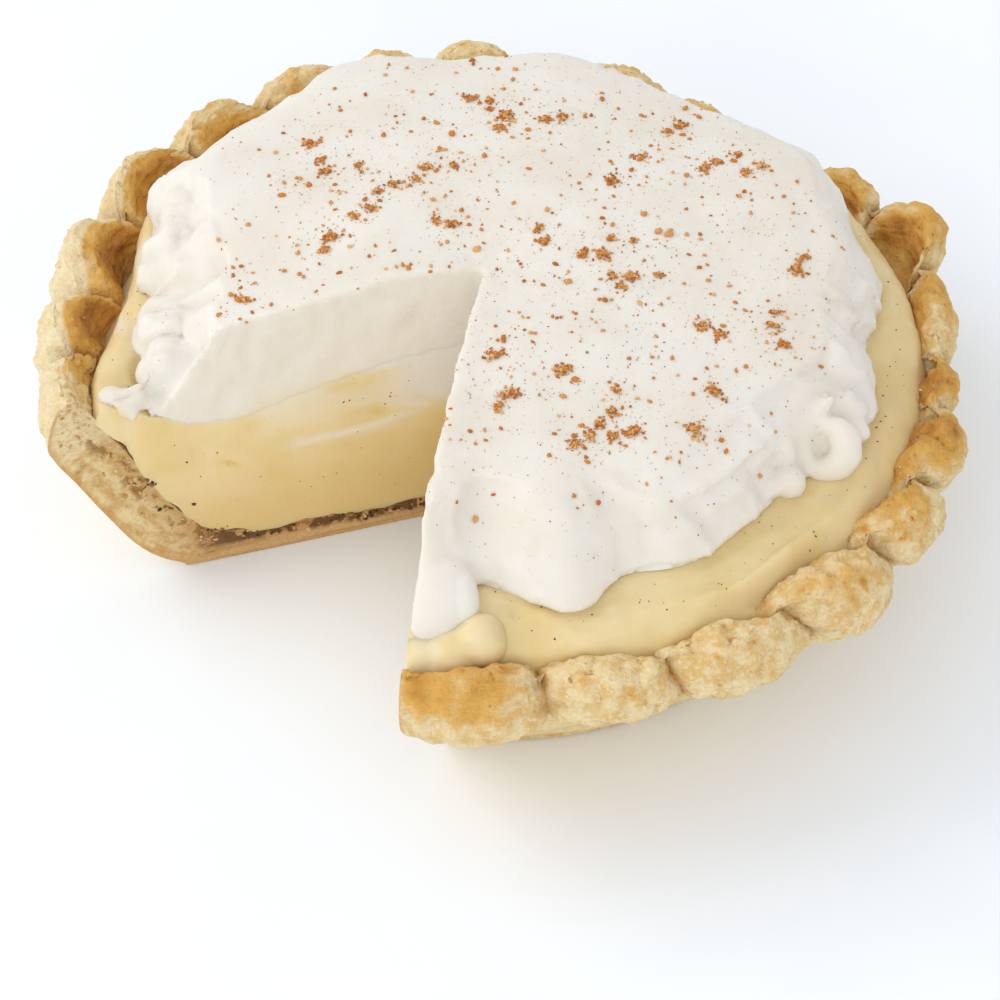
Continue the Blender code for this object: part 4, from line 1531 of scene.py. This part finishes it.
def dry_grains(name, dark, middle, light):
    """Dry matt grains, each of its own tone, with a fine grit that scatters the light. Nutmeg is pale
    tan where the grater cut it and brown at its bark; a crumb of baked pastry is straw where it
    broke and dark where the oven scorched it."""
    material, tree, shader = blank_material(name, Roughness=0.85, IOR=1.45)
    tone = attribute(tree, "tone")
    colour = blended(tree, stepped(tree, tone, 0.0, 0.45), dark, middle)
    colour = blended(tree, stepped(tree, tone, 0.45, 1.0), colour, light)
    grit = cloud(tree, 0.3, 2.0)
    colour = blended(tree, stepped(tree, grit, 0.45, 0.8), colour, dark)
    tree.links.new(colour, shader.inputs["Base Color"])
    bumped(tree, shader, ((grit, 0.05),))
    return material


def matt_board():
    """The pale, matt ground the pie stands on."""
    material, tree, shader = blank_material("painted_board_matt", Roughness=0.9)
    colour = blended(tree, stepped(tree, cloud(tree, 60.0, 2.0), 0.3, 0.7), "#F6FAFF", "#F4F8FD")
    tree.links.new(colour, shader.inputs["Base Color"])
    return material


# Stage

# The fitted viewpoint: how far, how high and how tilted the camera was, and its framing
VIEW_DISTANCE = 0.900
VIEW_ELEVATION_DEG = 44.8
VIEW_ROLL_DEG = -2.9
VIEW_FOCAL_PIXELS = 3259.0
IMAGE_PIXELS = 1000.0
AIM_PIXEL = (496.0, 500.0)
SENSOR_WIDTH = 36.0


def set_camera():
    """The camera at the fitted distance, height and roll, with the fitted framing."""
    elevation = math.radians(VIEW_ELEVATION_DEG)
    roll = math.radians(VIEW_ROLL_DEG)
    away = Vector((0.0, -math.cos(elevation), math.sin(elevation)))
    right = Vector((1.0, 0.0, 0.0))
    up = away.cross(right)
    tilted_right = right * math.cos(roll) + up * math.sin(roll)
    tilted_up = up * math.cos(roll) - right * math.sin(roll)
    camera = bpy.data.cameras.new("viewpoint")
    camera.sensor_width = SENSOR_WIDTH
    camera.lens = VIEW_FOCAL_PIXELS * SENSOR_WIDTH / IMAGE_PIXELS
    camera.shift_x = (IMAGE_PIXELS / 2 - AIM_PIXEL[0]) / IMAGE_PIXELS
    camera.shift_y = (AIM_PIXEL[1] - IMAGE_PIXELS / 2) / IMAGE_PIXELS
    camera.clip_start = 0.01
    holder = bpy.data.objects.new("viewpoint", camera)
    place = Vector((APEX_X * MM, APEX_Y * MM, 0.0)) + away * VIEW_DISTANCE
    facing = Matrix((tilted_right, tilted_up, away)).transposed().to_4x4()
    holder.matrix_world = Matrix.Translation(place) @ facing
    bpy.context.scene.collection.objects.link(holder)
    bpy.context.scene.camera = holder


def soft_light(name, place, size, power, colour):
    """A round soft light that faces the pie."""
    lamp = bpy.data.lights.new(name, "AREA")
    lamp.shape = "DISK"
    lamp.size = size
    lamp.energy = power
    lamp.color = linear(colour)[:3]
    holder = bpy.data.objects.new(name, lamp)
    facing = Vector(place).to_track_quat("Z", "Y").to_matrix().to_4x4()
    holder.matrix_world = Matrix.Translation(place) @ facing
    bpy.context.scene.collection.objects.link(holder)


FLOOR_RADIUS = 3.0
# Just clear of the pie's underside
FLOOR_HEIGHT = -0.0003
DAYLIGHT_COLOUR = "#FAFCFF"
DAYLIGHT_STRENGTH = 0.86
# Name, place and width in metres, power in watts, colour
SOFT_LIGHTS = (
    ("window", (-1.5, 0.5, 1.3), 1.6, 13.0, "#FFFEFB"),
    ("card", (-0.3, -1.7, 0.8), 1.6, 8.5, "#FDFEFF"),
)


def set_stage():
    """The pale ground, the daylight all round and the two soft lights."""
    bm = bmesh.new()
    bmesh.ops.create_circle(bm, cap_ends=True, segments=64, radius=FLOOR_RADIUS)
    floor = as_object(bm, "floor", matt_board(), smooth=False)
    floor.data.transform(Matrix.Translation((0.0, 0.0, FLOOR_HEIGHT)))
    world = bpy.data.worlds.new("daylight")
    world.use_nodes = True
    daylight = world.node_tree.nodes["Background"]
    daylight.inputs["Color"].default_value = linear(DAYLIGHT_COLOUR)
    daylight.inputs["Strength"].default_value = DAYLIGHT_STRENGTH
    bpy.context.scene.world = world
    for light in SOFT_LIGHTS:
        soft_light(*light)
    settings = bpy.context.scene.view_settings
    settings.view_transform = "Standard"
    settings.look = "None"


def main():
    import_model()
    set_camera()
    set_stage()

    pastry = baked_shortcrust()
    crust = make_crust()
    custard = make_custard()
    cream = make_cream()
    crust_tree = surface_of(crust)
    custard_tree = surface_of(custard)
    cream_tree = surface_of(cream)

    warm = dry_grains("nutmeg_grated_warm", "#A8601F", "#CE8435", "#E6B878")
    dusky = dry_grains("nutmeg_grated_fine", "#A86F3C", "#CDA06C", "#DDBE95")
    bark = dry_grains("nutmeg_bark_dark", "#241A14", "#3B2A20", "#5A4032")
    scorched = dry_grains("pastry_crumb_scorched", "#3F2812", "#6A4721", "#94683A")
    toasted = dry_grains("pastry_crumb_toasted", "#BE8E50", "#DDBD86", "#EFDBB2")

    # Each piece that replaces a solid, which also names its slot
    replacing = (
        (as_object(crust, "pastry_shell", pastry), "crust"),
        (as_object(custard, "custard_filling", set_custard()), "custard"),
        (as_object(cream, "cream_topping", whipped_cream()), "whipped_cream"),
        (grains(make_nutmeg_clumps(cream_tree), "nutmeg_clumps", warm), "whipped_cream"),
    )
    # Each piece that only the eye needs, and its slot
    laid_on = (
        (grains(make_nutmeg_flakes(cream_tree), "nutmeg_flakes", warm), "whipped_cream"),
        (grains(make_nutmeg_dust(cream_tree), "nutmeg_dust", dusky), "whipped_cream"),
        (grains(make_dark_specks(cream_tree), "nutmeg_dark_specks", bark), "whipped_cream"),
        (grains(make_custard_specks(custard_tree), "custard_specks", bark), "custard"),
        (grains(make_pastry_crumbs(crust_tree), "pastry_crumbs", toasted), "crust"),
        (grains(make_scorched_bits(crust_tree, custard_tree), "scorched_bits", scorched), "crust"),
    )
    for piece, slot in replacing + laid_on:
        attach(piece, "root")
    for piece, node in replacing:
        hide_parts(node)


main()
